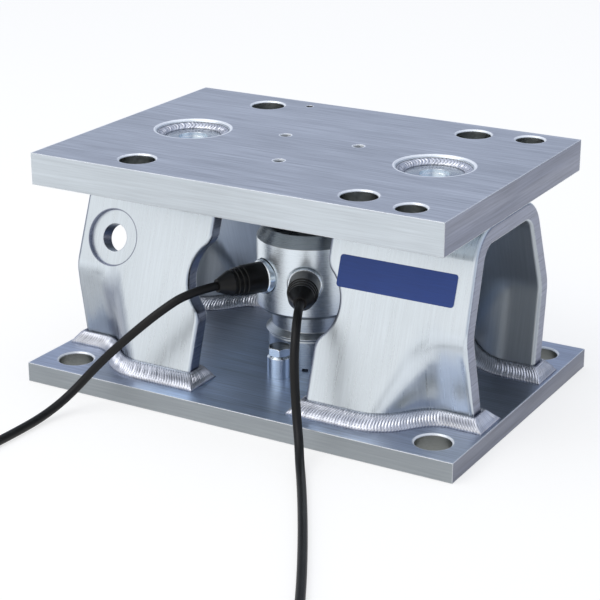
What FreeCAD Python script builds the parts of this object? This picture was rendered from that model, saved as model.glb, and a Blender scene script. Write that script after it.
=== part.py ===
import FreeCAD, Part
import math
import os
import types

import Sketcher
from FreeCAD import Placement, Rotation, Vector

# Weighing module: a load cell that rocks between a base plate and a top plate, with two pressed
# yokes welded to the base plate and two studs in the top plate that stop it lifting off.
# Millimetres. X runs along the module, -Y is its front, +Z is up, and the origin is the middle
# of the base plate's underside.

SIZES = (
    ("base_length", 300.0, "base plate along X"),
    ("base_width", 200.0, "base plate along Y"),
    ("base_thick", 12.5, "base plate"),
    ("base_hole_dia", 22.0, "bolt holes of the base plate"),
    ("base_hole_inset_x", 22.5, "from an end of the base plate to its bolt holes"),
    ("base_hole_inset_y", 21.0, "from a long side of the base plate to its bolt holes"),
    ("top_length", 280.0, "top plate along X"),
    ("top_width", 197.0, "top plate along Y"),
    ("top_thick", 20.0, "top plate"),
    ("top_hole_dia", 22.0, "bolt holes of the top plate"),
    ("top_hole_inset_x", 64.0, "from an end of the top plate to its bolt holes"),
    ("top_hole_inset_y", 21.7, "from a long side of the top plate to its bolt holes"),
    ("end_hole_dia", 18.0, "pair of holes at the right end of the top plate"),
    ("end_hole_inset_x", 28.0, "from the right end of the top plate to that pair"),
    ("end_hole_inset_y", 15.5, "from a long side of the top plate to that pair"),
    ("earth_hole_dia", 4.7, "blind earthing hole in the top plate"),
    ("earth_hole_depth", 9.0, "blind earthing hole in the top plate"),
    ("earth_hole_x", 50.0, "earthing hole, left of the middle"),
    ("earth_hole_inset_y", 10.8, "from the rear side of the top plate to the earthing hole"),
    ("rim_chamfer", 1.0, "rims of the bolt holes"),
    ("fit_gap", 0.1, "gap round a pin, bolt or spigot in its hole"),
    ("yoke_gap", 2.4, "between the yokes and the top plate"),
    ("yoke_inner_end", 41.2, "from the middle to the near end of a yoke"),
    ("yoke_length", 98.8, "foot of a yoke along X"),
    ("end_rake", 2.0, "degrees that the far end of a yoke leans back"),
    ("yoke_thick", 12.0, "sheet of the yokes"),
    ("yoke_bend", 12.0, "inside radius of the roof bends"),
    ("yoke_spread", 160.6, "over the feet of a yoke, where they flare"),
    ("leg_slope", 18.5, "degrees that the legs lean outwards"),
    ("dish_spread", 99.0, "over the feet of a yoke, where they are dished"),
    ("dish_height", 57.0, "top of the dish above the base plate"),
    ("dish_side", 24.0, "length of the dish's slanting side at the foot"),
    ("dish_start", 113.0, "from the middle to the dish's full depth"),
    ("ridge_outside", 15.0, "softness of the dish's slanting ridge on the outer face of the sheet"),
    ("ridge_inside", 9.0, "softness of that ridge on the inner face"),
    ("knee_outside", 4.0, "softness of the dish's upper edge on the outer face"),
    ("knee_inside", 2.5, "softness of that edge on the inner face"),
    ("hollow_outside", 11.0, "softness of the dish's hollow on the outer face"),
    ("hollow_inside", 17.0, "softness of that hollow on the inner face"),
    ("yoke_edge", 2.4, "rounded rims of the sheet"),
    ("notch_depth", 12.0, "scallop in the near edge of a leg"),
    ("notch_radius", 24.0, "hollow of the scallop"),
    ("notch_blend", 12.0, "rounded corners of the scallop"),
    ("notch_height", 63.0, "middle of the scallop above the base plate"),
    ("weld_leg", 8.0, "fillet weld round the feet"),
    ("weld_land", 0.8, "blunt upper edge of that weld"),
    ("lock_hole_dia", 18.0, "hole in each leg of the left yoke"),
    ("lock_hole_x", 113.0, "from the middle to those holes"),
    ("lock_hole_height", 77.5, "those holes above the base plate"),
    ("spot_face_dia", 36.0, "sunk round face about those holes"),
    ("spot_face_depth", 2.6, "sunk round face about those holes"),
    ("label_length", 76.5, "blue plate"),
    ("label_height", 19.5, "blue plate"),
    ("label_thick", 0.5, "blue plate"),
    ("label_corner", 2.0, "corner radius of the blue plate"),
    ("label_x", 88.3, "middle of the blue plate along X"),
    ("label_level", 83.5, "middle of the blue plate above the base plate"),
    ("stud_x", 86.0, "from the middle to a check stud"),
    ("stud_dia", 16.0, "shank of a check stud"),
    ("stud_head_dia", 36.0, "head of a check stud"),
    ("stud_drop", 40.0, "shank below the top plate"),
    ("stud_sink", 5.0, "head below the face of the top plate"),
    ("stud_pit_dia", 19.0, "turned pit in the head"),
    ("stud_pit_depth", 2.6, "turned pit in the head"),
    ("plug_weld_dia", 46.0, "recess that the plug weld fills"),
    ("plug_weld_depth", 9.0, "recess that the plug weld fills"),
    ("plug_weld_edge", 1.5, "chamfered edge of that recess"),
    ("plug_weld_rim", 1.8, "weld below the face of the top plate"),
    ("plug_weld_throat", 2.6, "width of the bead at its foot"),
    ("plug_weld_foot", 0.8, "height of the bead at its foot"),
    ("stud_play", 4.0, "between a stud and its hole in the yoke's roof"),
    ("lift_play", 3.0, "between the washer and the roof"),
    ("washer_dia", 38.0, "check washers"),
    ("washer_thick", 3.0, "check washers"),
    ("nut_flats", 24.0, "check nuts across the flats"),
    ("nut_height", 13.0, "check nuts"),
    ("lower_receiver_dia", 52.0, "lower receiver"),
    ("lower_receiver_height", 20.0, "lower receiver above the base plate"),
    ("lower_seat_depth", 12.0, "cup of the lower receiver"),
    ("spigot_dia", 20.0, "spigot of the lower receiver in the base plate"),
    ("spigot_length", 6.0, "spigot of the lower receiver in the base plate"),
    ("drain_width", 3.8, "drain slot in the foot of the lower receiver"),
    ("drain_height", 1.4, "drain slot in the foot of the lower receiver"),
    ("drain_depth", 8.0, "drain slot in the foot of the lower receiver"),
    ("drain_angle", 24.0, "degrees from the front to that slot"),
    ("receiver_edge", 1.2, "chamfered edges of the receivers"),
    ("seal_width", 6.0, "rubber ring under the collar"),
    ("seal_groove", 1.5, "depth of its groove"),
    ("collar_gap", 0.5, "between the lower receiver and the collar"),
    ("column_height", 88.5, "load cell over its rounded ends"),
    ("foot_dia", 34.0, "foot of the load cell"),
    ("crown_radius", 120.0, "rounded ends of the load cell"),
    ("collar_dia", 55.0, "collar of the load cell"),
    ("collar_height", 4.4, "collar of the load cell"),
    ("collar_edge", 0.4, "chamfered lower edge of the collar"),
    ("collar_cone", 3.4, "height of the cone from the collar up to the neck"),
    ("neck_dia", 48.0, "neck of the load cell"),
    ("neck_height", 11.6, "neck of the load cell"),
    ("core_dia", 40.0, "ends of the measuring section"),
    ("core_end", 7.0, "height of those ends"),
    ("waist_dia", 28.0, "measuring section"),
    ("waist_taper", 4.0, "height of the tapers beside it"),
    ("button_dia", 24.0, "load button"),
    ("housing_dia", 66.8, "housing"),
    ("housing_height", 46.3, "housing, up to its shoulder"),
    ("housing_cone", 7.7, "height of the cone above the shoulder"),
    ("housing_crown_dia", 57.0, "flat top of the housing"),
    ("housing_wall", 4.0, "side wall of the housing"),
    ("housing_floor", 4.0, "floor of the housing"),
    ("housing_roof", 9.0, "roof of the housing"),
    ("housing_edge", 2.5, "chamfered lower edge of the housing"),
    ("button_play", 0.6, "between the button and the housing"),
    ("top_seal_width", 2.5, "rubber ring round the button"),
    ("top_seal_depth", 4.0, "rubber ring round the button"),
    ("board_width", 26.0, "signal board"),
    ("board_height", 30.0, "signal board"),
    ("board_thick", 1.6, "signal board"),
    ("board_y", 21.0, "signal board behind the middle"),
    ("socket_level", 24.5, "sockets above the housing's floor"),
    ("left_socket_angle", -27.5, "degrees from the front, left socket"),
    ("front_socket_angle", 25.0, "degrees from the front, front socket"),
    ("spot_dia", 23.0, "flat face round a socket"),
    ("spot_sink", 2.4, "flat face below the housing's skin"),
    ("socket_dia", 14.0, "sockets"),
    ("socket_inside", 6.0, "socket behind its flat face"),
    ("socket_outside", 8.0, "socket in front of its flat face"),
    ("ring_dia", 21.8, "coupling rings"),
    ("ring_height", 5.2, "coupling rings"),
    ("ring_edge", 0.6, "chamfered edges of the coupling rings"),
    ("plug_dia", 19.4, "moulded plugs"),
    ("plug_barrel", 13.4, "straight part of a plug"),
    ("plug_rib_pitch", 3.0, "ribs of a plug"),
    ("plug_rib_depth", 0.8, "ribs of a plug"),
    ("plug_rib_taper", 0.5, "each rib is this much smaller in radius"),
    ("plug_cone", 9.0, "cone of a plug"),
    ("plug_tip_dia", 8.2, "end of that cone"),
    ("upper_receiver_height", 26.4, "upper receiver below the top plate"),
    ("upper_seat_depth", 3.0, "cup of the upper receiver"),
    ("upper_boss_dia", 48.0, "boss of the upper receiver"),
    ("flange_dia", 88.0, "flange of the upper receiver"),
    ("flange_width", 66.0, "flange of the upper receiver along X"),
    ("flange_thick", 10.0, "flange of the upper receiver"),
    ("screw_front_y", 37.4, "front receiver screw, from the middle"),
    ("screw_rear_x", 26.2, "rear receiver screws, from the middle"),
    ("screw_rear_y", 15.4, "rear receiver screws, from the middle"),
    ("screw_dia", 4.0, "receiver screws"),
    ("screw_head_dia", 7.0, "receiver screws"),
    ("screw_head_height", 4.0, "receiver screws"),
    ("screw_sink", 4.0, "screw heads below the face of the top plate"),
    ("screw_bite", 7.0, "receiver screws in the flange"),
    ("stop_y", 37.5, "stop bolt in front of the middle"),
    ("stop_bolt_dia", 8.0, "stop bolt"),
    ("stop_bolt_flats", 13.0, "head of the stop bolt"),
    ("stop_head_height", 5.3, "head of the stop bolt"),
    ("stop_bolt_bite", 10.0, "stop bolt in the base plate"),
    ("sleeve_dia", 15.5, "stop sleeve"),
    ("sleeve_height", 14.5, "stop sleeve"),
    ("sleeve_edge", 1.3, "chamfered upper edge of the stop sleeve"),
    ("cable_dia", 5.5, "cables"),
    ("coil_mean_dia", 66.0, "coils, at the middle of their turns"),
    ("coil_turn_pitch", 6.2, "from turn to turn of a coil"),
    ("coil_turns_wide", 3.5, "turns side by side in a coil"),
    ("coil_slack", 0.6, "uneven winding of a coil, on each side"),
    ("tie_thick", 1.0, "ties round a coil"),
    ("tie_width", 4.5, "ties round a coil"),
    ("tie_gap", 0.15, "between a tie and its coil"),
    ("tail_length", 40.0, "cable from a coil to its far plug"),
)

# Routes of the cables from the tip of a plug to the start of a coil, and the compass angle at
# which each coil begins. The coils turn clockwise, seen from above.
FLOOR = 2.75
LEFT_ROUTE = (
    (-40.4, -77.6, 73.0),
    (-52.5, -91.0, 63.0),
    (-67.5, -102.0, 48.0),
    (-84.5, -111.0, 30.0),
    (-97.5, -125.0, 11.0),
    (-102.0, -143.0, 4.0),
    (-102.9, -166.0, FLOOR),
    (-105.4, -208.6, FLOOR),
    (-109.9, -251.0, FLOOR),
)
FRONT_ROUTE = (
    (33.4, -71.7, 73.5),
    (38.5, -82.5, 69.8),
    (42.8, -91.7, 62.3),
    (45.9, -98.2, 52.0),
    (48.4, -101.6, 37.3),
    (53.1, -107.5, 21.8),
    (59.8, -116.6, 11.0),
    (66.5, -127.4, 5.2),
    (77.6, -144.7, FLOOR),
    (97.2, -177.3, FLOOR),
    (118.2, -213.7, FLOOR),
    (139.9, -253.1, FLOOR),
    (162.8, -298.0, FLOOR),
    (183.3, -343.9, FLOOR),
)
LEFT_COIL_ANGLE = -6.0
FRONT_COIL_ANGLE = 24.0
LEFT_TAIL_ANGLE = 170.0
FRONT_TAIL_ANGLE = -65.0
TIE_ANGLES = (75.0, 255.0)


class Measure:
    """A size with its number and the sheet expression that it comes from."""

    def __init__(self, number, text):
        self.number = number
        self.text = text

    def __float__(self):
        return self.number

    def __neg__(self):
        return Measure(-self.number, f"(-{self.text})")

    def __add__(self, other):
        return Measure(self.number + float(other), f"({self.text} + {text_of(other)})")

    def __sub__(self, other):
        return Measure(self.number - float(other), f"({self.text} - {text_of(other)})")

    def __mul__(self, other):
        return Measure(self.number * float(other), f"({self.text} * {text_of(other)})")

    def __truediv__(self, other):
        return Measure(self.number / float(other), f"({self.text} / {text_of(other)})")


def text_of(value):
    return value.text if isinstance(value, Measure) else repr(float(value))


def root(value):
    return Measure(math.sqrt(value.number), f"sqrt({value.text})")


doc = FreeCAD.newDocument("WeighingModule")
sheet = doc.addObject("Spreadsheet::Sheet", "Sizes")
for row, (alias, number, note) in enumerate(SIZES, start=1):
    sheet.set(f"A{row}", note)
    sheet.set(f"B{row}", str(number))
    sheet.setAlias(f"B{row}", alias)
doc.recompute()

dim = types.SimpleNamespace(
    **{alias: Measure(float(sheet.get(alias)), f"Sizes.{alias}") for alias, _, _ in SIZES}
)
pieces = []

# Levels of the stack, from the floor up
base_top = dim.base_thick
receiver_top = base_top + dim.lower_receiver_height
seat_low = receiver_top - dim.lower_seat_depth
seat_high = seat_low + dim.column_height
deck = seat_high + dim.upper_receiver_height - dim.upper_seat_depth
top_face = deck + dim.top_thick
roof_top = deck - dim.yoke_gap
roof_under = roof_top - dim.yoke_thick
collar_low = receiver_top + dim.collar_gap
collar_high = collar_low + dim.collar_height
housing_low = collar_high + dim.neck_height
shoulder = housing_low + dim.housing_height
housing_top = shoulder + dim.housing_cone
socket_axis = housing_low + dim.socket_level
spot_face = dim.housing_dia / 2 - dim.spot_sink


# Helpers

def bind(obj, **sizes):
    for name, value in sizes.items():
        obj.setExpression(name, value.text)


def bind_place(obj, x=None, y=None, z=None):
    for axis, value in (("x", x), ("y", y), ("z", z)):
        if value is not None:
            obj.setExpression(f"Placement.Base.{axis}", value.text)


def add_piece(obj, label):
    obj.Label = label
    pieces.append(obj)
    return obj


def new_body(name):
    return doc.addObject("PartDesign::Body", name)


def new_sketch(body, role, level=None):
    sketch = body.newObject("Sketcher::SketchObject", "Sketch")
    plane = next(p for p in body.Origin.OriginFeatures if p.Role == role)
    sketch.AttachmentSupport = (plane, [""])
    sketch.MapMode = "FlatFace"
    if level is not None:
        sketch.setExpression("AttachmentOffset.Base.z", level.text)
    return sketch


def tie_point(sketch, geometry, position, u, v):
    """Hold a point of a sketch at the two sizes; a plain 0 puts it on the axis."""
    if not isinstance(u, Measure) and not isinstance(v, Measure):
        sketch.addConstraint(Sketcher.Constraint("Coincident", geometry, position, -1, 1))
        return
    for kind, axis, value in (("DistanceX", -2, u), ("DistanceY", -1, v)):
        if not isinstance(value, Measure):
            sketch.addConstraint(Sketcher.Constraint("PointOnObject", geometry, position, axis))
            continue
        index = sketch.addConstraint(
            Sketcher.Constraint(kind, -1, 1, geometry, position, float(value))
        )
        name = f"{kind}_{geometry}_{position}"
        sketch.renameConstraint(index, name)
        sketch.setExpression(f"Constraints.{name}", value.text)


def draw_outline(sketch, corners, arcs=None):
    """Closed outline through the corners. arcs gives the radius of a side that bulges outwards."""
    arcs = arcs or {}
    points = [Vector(float(u), float(v), 0) for u, v in corners]
    count = len(points)
    ends = {}
    for i, start in enumerate(points):
        stop = points[(i + 1) % count]
        if i not in arcs:
            ends[i] = (sketch.addGeometry(Part.LineSegment(start, stop), False), 1, 2)
            continue
        radius = arcs[i]
        chord = stop - start
        rise = math.sqrt(float(radius) ** 2 - (chord.Length / 2) ** 2)
        inward = Vector(-chord.y, chord.x, 0).normalize()
        centre = (start + stop) / 2 + inward * rise
        first = math.atan2(start.y - centre.y, start.x - centre.x)
        last = math.atan2(stop.y - centre.y, stop.x - centre.x)
        circle = Part.Circle(centre, Vector(0, 0, 1), float(radius))
        index = sketch.addGeometry(Part.ArcOfCircle(circle, first, last), False)
        ends[i] = (index, 1, 2)
    for i in range(count):
        geometry, _, last = ends[i]
        following, first, _ = ends[(i + 1) % count]
        sketch.addConstraint(Sketcher.Constraint("Coincident", geometry, last, following, first))
    for i, (u, v) in enumerate(corners):
        tie_point(sketch, ends[i][0], ends[i][1], u, v)
    for i, radius in arcs.items():
        index = sketch.addConstraint(Sketcher.Constraint("Radius", ends[i][0], float(radius)))
        sketch.renameConstraint(index, f"radius_{i}")
        sketch.setExpression(f"Constraints.radius_{i}", radius.text)


def draw_circle(sketch, u, v, diameter):
    circle = Part.Circle(Vector(float(u), float(v), 0), Vector(0, 0, 1), float(diameter) / 2)
    index = sketch.addGeometry(circle, False)
    tie_point(sketch, index, 3, u, v)
    size = sketch.addConstraint(Sketcher.Constraint("Diameter", index, float(diameter)))
    sketch.renameConstraint(size, f"dia_{index}")
    sketch.setExpression(f"Constraints.dia_{index}", diameter.text)


def draw_rectangle(sketch, length, width):
    half_x, half_y = length / 2, width / 2
    draw_outline(sketch, [(-half_x, -half_y), (half_x, -half_y), (half_x, half_y), (-half_x, half_y)])


def pad(body, sketch, length):
    feature = body.newObject("PartDesign::Pad", "Pad")
    feature.Profile = sketch
    bind(feature, Length=length)
    return feature


def pocket(body, sketch, depth):
    """Pocket from the sketch downwards, which has to take something away."""
    doc.recompute()
    before = body.Shape.Volume
    feature = body.newObject("PartDesign::Pocket", "Pocket")
    feature.Profile = sketch
    bind(feature, Length=depth)
    doc.recompute()
    if body.Shape.Volume >= before:
        raise RuntimeError(f"{body.Name}: the pocket cuts nothing")
    return feature


def chamfer_rims(body, base, diameter, size, level=None):
    """Chamfer the rims of every hole of this diameter: both, or only those at one level."""
    doc.recompute()
    names = []
    for number, edge in enumerate(base.Shape.Edges, start=1):
        if not isinstance(edge.Curve, Part.Circle) or abs(edge.Curve.Radius - float(diameter) / 2) > 1e-6:
            continue
        if level is None or abs(edge.Curve.Center.z - float(level)) < 1e-6:
            names.append(f"Edge{number}")
    feature = body.newObject("PartDesign::Chamfer", "Rims")
    feature.Base = (base, names)
    bind(feature, Size=size)
    return feature


def turned(name, corners, arcs=None, level=None):
    """Body turned about its Z axis from (radius, height) corners, listed anticlockwise."""
    body = new_body(name)
    sketch = new_sketch(body, "XZ_Plane")
    draw_outline(sketch, corners, arcs)
    turn = body.newObject("PartDesign::Revolution", "Turn")
    turn.Profile = sketch
    turn.ReferenceAxis = (sketch, ["V_Axis"])
    turn.Angle = 360
    if level is not None:
        bind_place(body, z=level)
    return body


def ring(name, inner, outer, low, high, edge=None, level=None):
    if edge is None:
        corners = [(inner, low), (outer, low), (outer, high), (inner, high)]
    else:
        corners = [
            (inner, low),
            (outer - edge, low),
            (outer, low + edge),
            (outer, high - edge),
            (outer - edge, high),
            (inner, high),
        ]
    return turned(name, corners, level=level)


def cylinder(name, diameter, height):
    obj = doc.addObject("Part::Cylinder", name)
    bind(obj, Radius=diameter / 2, Height=height)
    return obj


def box(name, length, width, height):
    """Box centred on its own X and Y, standing on its own Z."""
    obj = doc.addObject("Part::Box", name)
    bind(obj, Length=length, Width=width, Height=height)
    bind_place(obj, x=-length / 2, y=-width / 2)
    return obj


def cut(name, base, *tools):
    obj = doc.addObject("Part::Cut", name)
    obj.Base = base
    obj.Tool = tools[0] if len(tools) == 1 else fuse(name + "Tools", *tools)
    return obj


def fuse(name, *shapes):
    obj = doc.addObject("Part::MultiFuse", name)
    obj.Shapes = list(shapes)
    return obj


def common(name, base, tool):
    obj = doc.addObject("Part::Common", name)
    obj.Base = base
    obj.Tool = tool
    return obj


def group(name, *members):
    obj = doc.addObject("Part::Compound", name)
    obj.Links = list(members)
    return obj


def hexagon(name, flats, height):
    """Hexagonal block whose upper and lower corners are turned off."""
    block = doc.addObject("Part::Prism", name + "Block")
    block.Polygon = 6
    bind(block, Circumradius=flats / math.sqrt(3), Height=height)
    corner = flats / math.sqrt(3)
    flat = flats / 2
    slope = (corner - flat) * math.tan(math.radians(30))
    lens = turned(
        name + "Lens",
        [(0, 0), (flat, 0), (corner, slope), (corner, height - slope), (flat, height), (0, height)],
    )
    return common(name + "Hex", block, lens)


def outward(angle, level):
    """Placement whose Z points out of the load cell at this angle from the front."""
    turn = Rotation(Vector(0, 0, 1), float(angle)) * Rotation(Vector(1, 0, 0), 90)
    return Placement(Vector(0, 0, float(level)), turn)


def shaped(label, shape, place=None):
    """Sub-part whose form no feature gives: its shape is worked out from the sheet."""
    obj = doc.addObject("Part::Feature", label)
    obj.Shape = shape
    if place is not None:
        obj.Placement = place
    return add_piece(obj, label)


# Plates

def base_plate():
    body = new_body("BasePlate")
    sketch = new_sketch(body, "XY_Plane")
    draw_rectangle(sketch, dim.base_length, dim.base_width)
    for side_x in (-1, 1):
        for side_y in (-1, 1):
            x = (dim.base_length / 2 - dim.base_hole_inset_x) * side_x
            y = (dim.base_width / 2 - dim.base_hole_inset_y) * side_y
            draw_circle(sketch, x, y, dim.base_hole_dia)
    draw_circle(sketch, 0, 0, dim.spigot_dia + dim.fit_gap * 2)
    draw_circle(sketch, 0, -dim.stop_y, dim.stop_bolt_dia + dim.fit_gap * 2)
    plate = pad(body, sketch, dim.base_thick)
    chamfer_rims(body, plate, dim.base_hole_dia, dim.rim_chamfer)
    return add_piece(body, "base_plate")


def screw_places():
    return (
        (0, -dim.screw_front_y),
        (-dim.screw_rear_x, dim.screw_rear_y),
        (dim.screw_rear_x, dim.screw_rear_y),
    )


def top_plate():
    body = new_body("TopPlate")
    bind_place(body, z=deck)
    sketch = new_sketch(body, "XY_Plane")
    draw_rectangle(sketch, dim.top_length, dim.top_width)
    for side_y in (-1, 1):
        for side_x in (-1, 1):
            x = (dim.top_length / 2 - dim.top_hole_inset_x) * side_x
            y = (dim.top_width / 2 - dim.top_hole_inset_y) * side_y
            draw_circle(sketch, x, y, dim.top_hole_dia)
        end_x = dim.top_length / 2 - dim.end_hole_inset_x
        end_y = (dim.top_width / 2 - dim.end_hole_inset_y) * side_y
        draw_circle(sketch, end_x, end_y, dim.end_hole_dia)
    for side_x in (-1, 1):
        draw_circle(sketch, dim.stud_x * side_x, 0, dim.stud_head_dia + dim.fit_gap * 2)
    for x, y in screw_places():
        draw_circle(sketch, x, y, dim.screw_dia + dim.fit_gap * 2)
    plate = pad(body, sketch, dim.top_thick)

    weld_seats = new_sketch(body, "XY_Plane", dim.top_thick)
    for side_x in (-1, 1):
        draw_circle(weld_seats, dim.stud_x * side_x, 0, dim.plug_weld_dia)
    pocket(body, weld_seats, dim.plug_weld_depth)

    screw_seats = new_sketch(body, "XY_Plane", dim.top_thick)
    for x, y in screw_places():
        draw_circle(screw_seats, x, y, dim.screw_head_dia + dim.fit_gap * 2)
    pocket(body, screw_seats, dim.screw_sink + dim.screw_head_height)

    earth = new_sketch(body, "XY_Plane", dim.top_thick)
    earth_y = dim.top_width / 2 - dim.earth_hole_inset_y
    draw_circle(earth, -dim.earth_hole_x, earth_y, dim.earth_hole_dia)
    plate = pocket(body, earth, dim.earth_hole_depth)

    plate = chamfer_rims(body, plate, dim.top_hole_dia, dim.rim_chamfer)
    plate = chamfer_rims(body, plate, dim.end_hole_dia, dim.rim_chamfer)
    chamfer_rims(body, plate, dim.plug_weld_dia, dim.plug_weld_edge, dim.top_thick)
    return add_piece(body, "top_plate")


# Yokes: the pressed legs are surfaces, so their form is worked out from the sheet

slope = math.radians(float(dim.leg_slope))
foot_level = float(base_top)
roof_level = float(roof_top)
sheet_thick = float(dim.yoke_thick)
near_end = float(dim.yoke_inner_end)
far_end = near_end + float(dim.yoke_length)
rake = math.radians(float(dim.end_rake))
bend_inside = float(dim.yoke_bend)
bend_outside = bend_inside + sheet_thick


def flare(z):
    """Outer face of a leg where it is not dished, from the middle plane."""
    return float(dim.yoke_spread) / 2 - (z - foot_level) * math.tan(slope)


bend_y = flare(roof_level) - bend_outside * math.tan((math.pi / 2 - slope) / 2)
bend_z = roof_level - bend_outside
bend_foot = bend_z + bend_inside * math.sin(slope)
leg_top = bend_foot - sheet_thick / 3
dish_top = foot_level + float(dim.dish_height)
dish_foot = float(dim.dish_spread) / 2
dish_lean = (flare(dish_top) - dish_foot) / (dish_top - foot_level)
side_lean = (flare(foot_level) - dish_foot) / float(dim.dish_side)


def soft_ramp(rise, blend):
    """Nought, then a straight rise, with a parabola between the two."""
    if rise <= -blend:
        return 0.0
    if rise >= blend:
        return rise
    return (rise + blend) ** 2 / (4 * blend)


def far_at(z):
    """Far end of a yoke at this height."""
    return far_end - (z - foot_level) * math.tan(rake)


def leg_face(x, z, depth, hollow_crease, ridge_crease, knee_crease):
    """Face of a leg at this depth in the sheet: three planes with soft creases between them.

    The flare leans outwards to the foot, the dish leans back inwards from its top, and the
    slanting side of the dish joins the two. The crease along the ridge is softer than the knee.
    """
    flank = flare(z) - depth * math.hypot(1, math.tan(slope))
    dish = dish_foot + dish_lean * (z - foot_level)
    side = dish - side_lean * (x - float(dim.dish_start)) - depth * math.hypot(1, dish_lean, side_lean)
    dish = dish - depth * math.hypot(1, dish_lean)
    hollow = dish + soft_ramp(side - dish, float(hollow_crease))
    at_side = min(max((side - dish) / float(hollow_crease) / 2 + 0.5, 0.0), 1.0)
    crease = float(knee_crease) + (float(ridge_crease) - float(knee_crease)) * at_side
    return flank - soft_ramp(flank - hollow, crease)


def leg_outside(x, z):
    return leg_face(x, z, 0.0, dim.hollow_outside, dim.ridge_outside, dim.knee_outside)


def leg_inside(x, z):
    return leg_face(x, z, sheet_thick, dim.hollow_inside, dim.ridge_inside, dim.knee_inside)


def leg_skin(face, side):
    """Smooth surface of one face of a leg, from the foot up to the roof bend."""
    column_count = 22
    row_count = 24
    grid = []
    levels = [foot_level + (leg_top - foot_level) * row / (row_count - 1) for row in range(row_count)]
    for column in range(column_count):
        share = column / (column_count - 1)
        line = []
        for z in levels:
            x = near_end + (far_at(z) - near_end) * share
            line.append(Vector(x, side * face(x, z), z))
        grid.append(line)
    surface = Part.BSplineSurface()
    surface.interpolate(grid)
    return surface.toShape()


def flat_rim(outer_edge, inner_edge):
    """Flat face between the matching edges of a leg's two skins."""
    rungs = []
    for outer_point, inner_point in zip(outer_edge.Vertexes, inner_edge.Vertexes):
        rungs.append(Part.LineSegment(outer_point.Point, inner_point.Point).toShape())
    return Part.Face(Part.Wire(Part.__sortEdges__([outer_edge, inner_edge] + rungs)))


def leg_shape(side):
    outer = leg_skin(leg_outside, side)
    inner = leg_skin(leg_inside, side)
    rims = [flat_rim(*pair) for pair in zip(outer.Edges, inner.Edges)]
    shell = Part.Shell([outer, inner] + rims)
    shell.sewShape()
    leg = Part.Solid(shell)
    if leg.Volume < 0:
        leg.reverse()
    return leg


def bend_arc(side, radius):
    """Arc of a roof bend, from the roof to the leg, with its two ends."""
    def at(angle):
        y = bend_y + radius * math.cos(angle)
        return Vector(near_end, side * y, bend_z + radius * math.sin(angle))

    middle = (math.pi / 2 + slope) / 2
    return Part.Arc(at(math.pi / 2), at(middle), at(slope)).toShape(), at(math.pi / 2), at(slope)


def arch_shape():
    """Roof of the yoke with both bends and the tops of the legs."""
    edges = []
    roof_ends = []
    for side in (-1, 1):
        outer_arc, outer_roof, outer_leg = bend_arc(side, bend_outside)
        inner_arc, inner_roof, inner_leg = bend_arc(side, bend_inside)
        outer_end = Vector(near_end, side * leg_outside(near_end, leg_top), leg_top)
        inner_end = Vector(near_end, side * leg_inside(near_end, leg_top), leg_top)
        edges += [outer_arc, inner_arc]
        for start, stop in ((outer_leg, outer_end), (outer_end, inner_end), (inner_end, inner_leg)):
            edges.append(Part.LineSegment(start, stop).toShape())
        roof_ends.append((outer_roof, inner_roof))
    for start, stop in zip(*roof_ends):
        edges.append(Part.LineSegment(start, stop).toShape())
    outline = Part.Wire(Part.__sortEdges__(edges))
    return Part.Face(outline).extrude(Vector(far_end - near_end, 0, 0)).cut(rake_tool())


def rake_tool():
    """Everything beyond the leaning far end of a yoke."""
    width = float(dim.yoke_spread)
    low = foot_level
    high = roof_level + sheet_thick
    beyond = far_end + sheet_thick
    corners = [(far_at(low), low), (beyond, low), (beyond, high), (far_at(high), high)]
    outline = Part.makePolygon([Vector(x, -width, z) for x, z in corners + corners[:1]])
    return Part.Face(outline).extrude(Vector(0, 2 * width, 0))


def notch_tool():
    """Scallop in the near edge of both legs: a hollow arc between two rounded corners."""
    hollow = float(dim.notch_radius)
    blend = float(dim.notch_blend)
    middle = Vector(near_end + float(dim.notch_depth) - hollow, 0, foot_level + float(dim.notch_height))
    reach = hollow + blend
    across = near_end + blend - middle.x
    rise = math.sqrt(reach * reach - across * across)
    deepest = middle + Vector(hollow, 0, 0)
    ends = []
    arcs = []
    for side in (1, -1):
        corner = Vector(near_end + blend, 0, middle.z + side * rise)
        joint = middle + (corner - middle) * (hollow / reach)
        start = corner - Vector(blend, 0, 0)
        bulge = (start + joint) / 2 - corner
        arcs.append(Part.Arc(start, corner + bulge.normalize() * blend, joint).toShape())
        ends.append((start, joint))
    arcs.append(Part.Arc(ends[0][1], deepest, ends[1][1]).toShape())
    back = Vector(near_end / 2, 0, 0)
    outline = [ends[0][0], Vector(back.x, 0, ends[0][0].z), Vector(back.x, 0, ends[1][0].z), ends[1][0]]
    for start, stop in zip(outline, outline[1:]):
        arcs.append(Part.LineSegment(start, stop).toShape())
    face = Part.Face(Part.Wire(Part.__sortEdges__(arcs)))
    width = float(dim.yoke_spread)
    face.translate(Vector(0, -width, 0))
    return face.extrude(Vector(0, 2 * width, 0))


def rim_edges(shape):
    """Edges of both end rims of the sheet, without the feet and the seams across the sheet."""
    near_limit = near_end + float(dim.notch_depth) + 0.01
    rims = []
    for edge in shape.Edges:
        reach = edge.BoundBox
        middle = (edge.FirstParameter + edge.LastParameter) / 2
        spots = [edge.valueAt(t) for t in (edge.FirstParameter, middle, edge.LastParameter)]
        at_far_end = all(abs(far_at(spot.z) - spot.x) < 0.01 for spot in spots)
        at_end = reach.XMax < near_limit or at_far_end
        at_foot = reach.ZMax < foot_level + 0.01
        seam = edge.Length < 2 * sheet_thick and reach.XLength + reach.ZLength < 0.01
        if at_end and not at_foot and not seam:
            rims.append(edge)
    return rims


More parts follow.
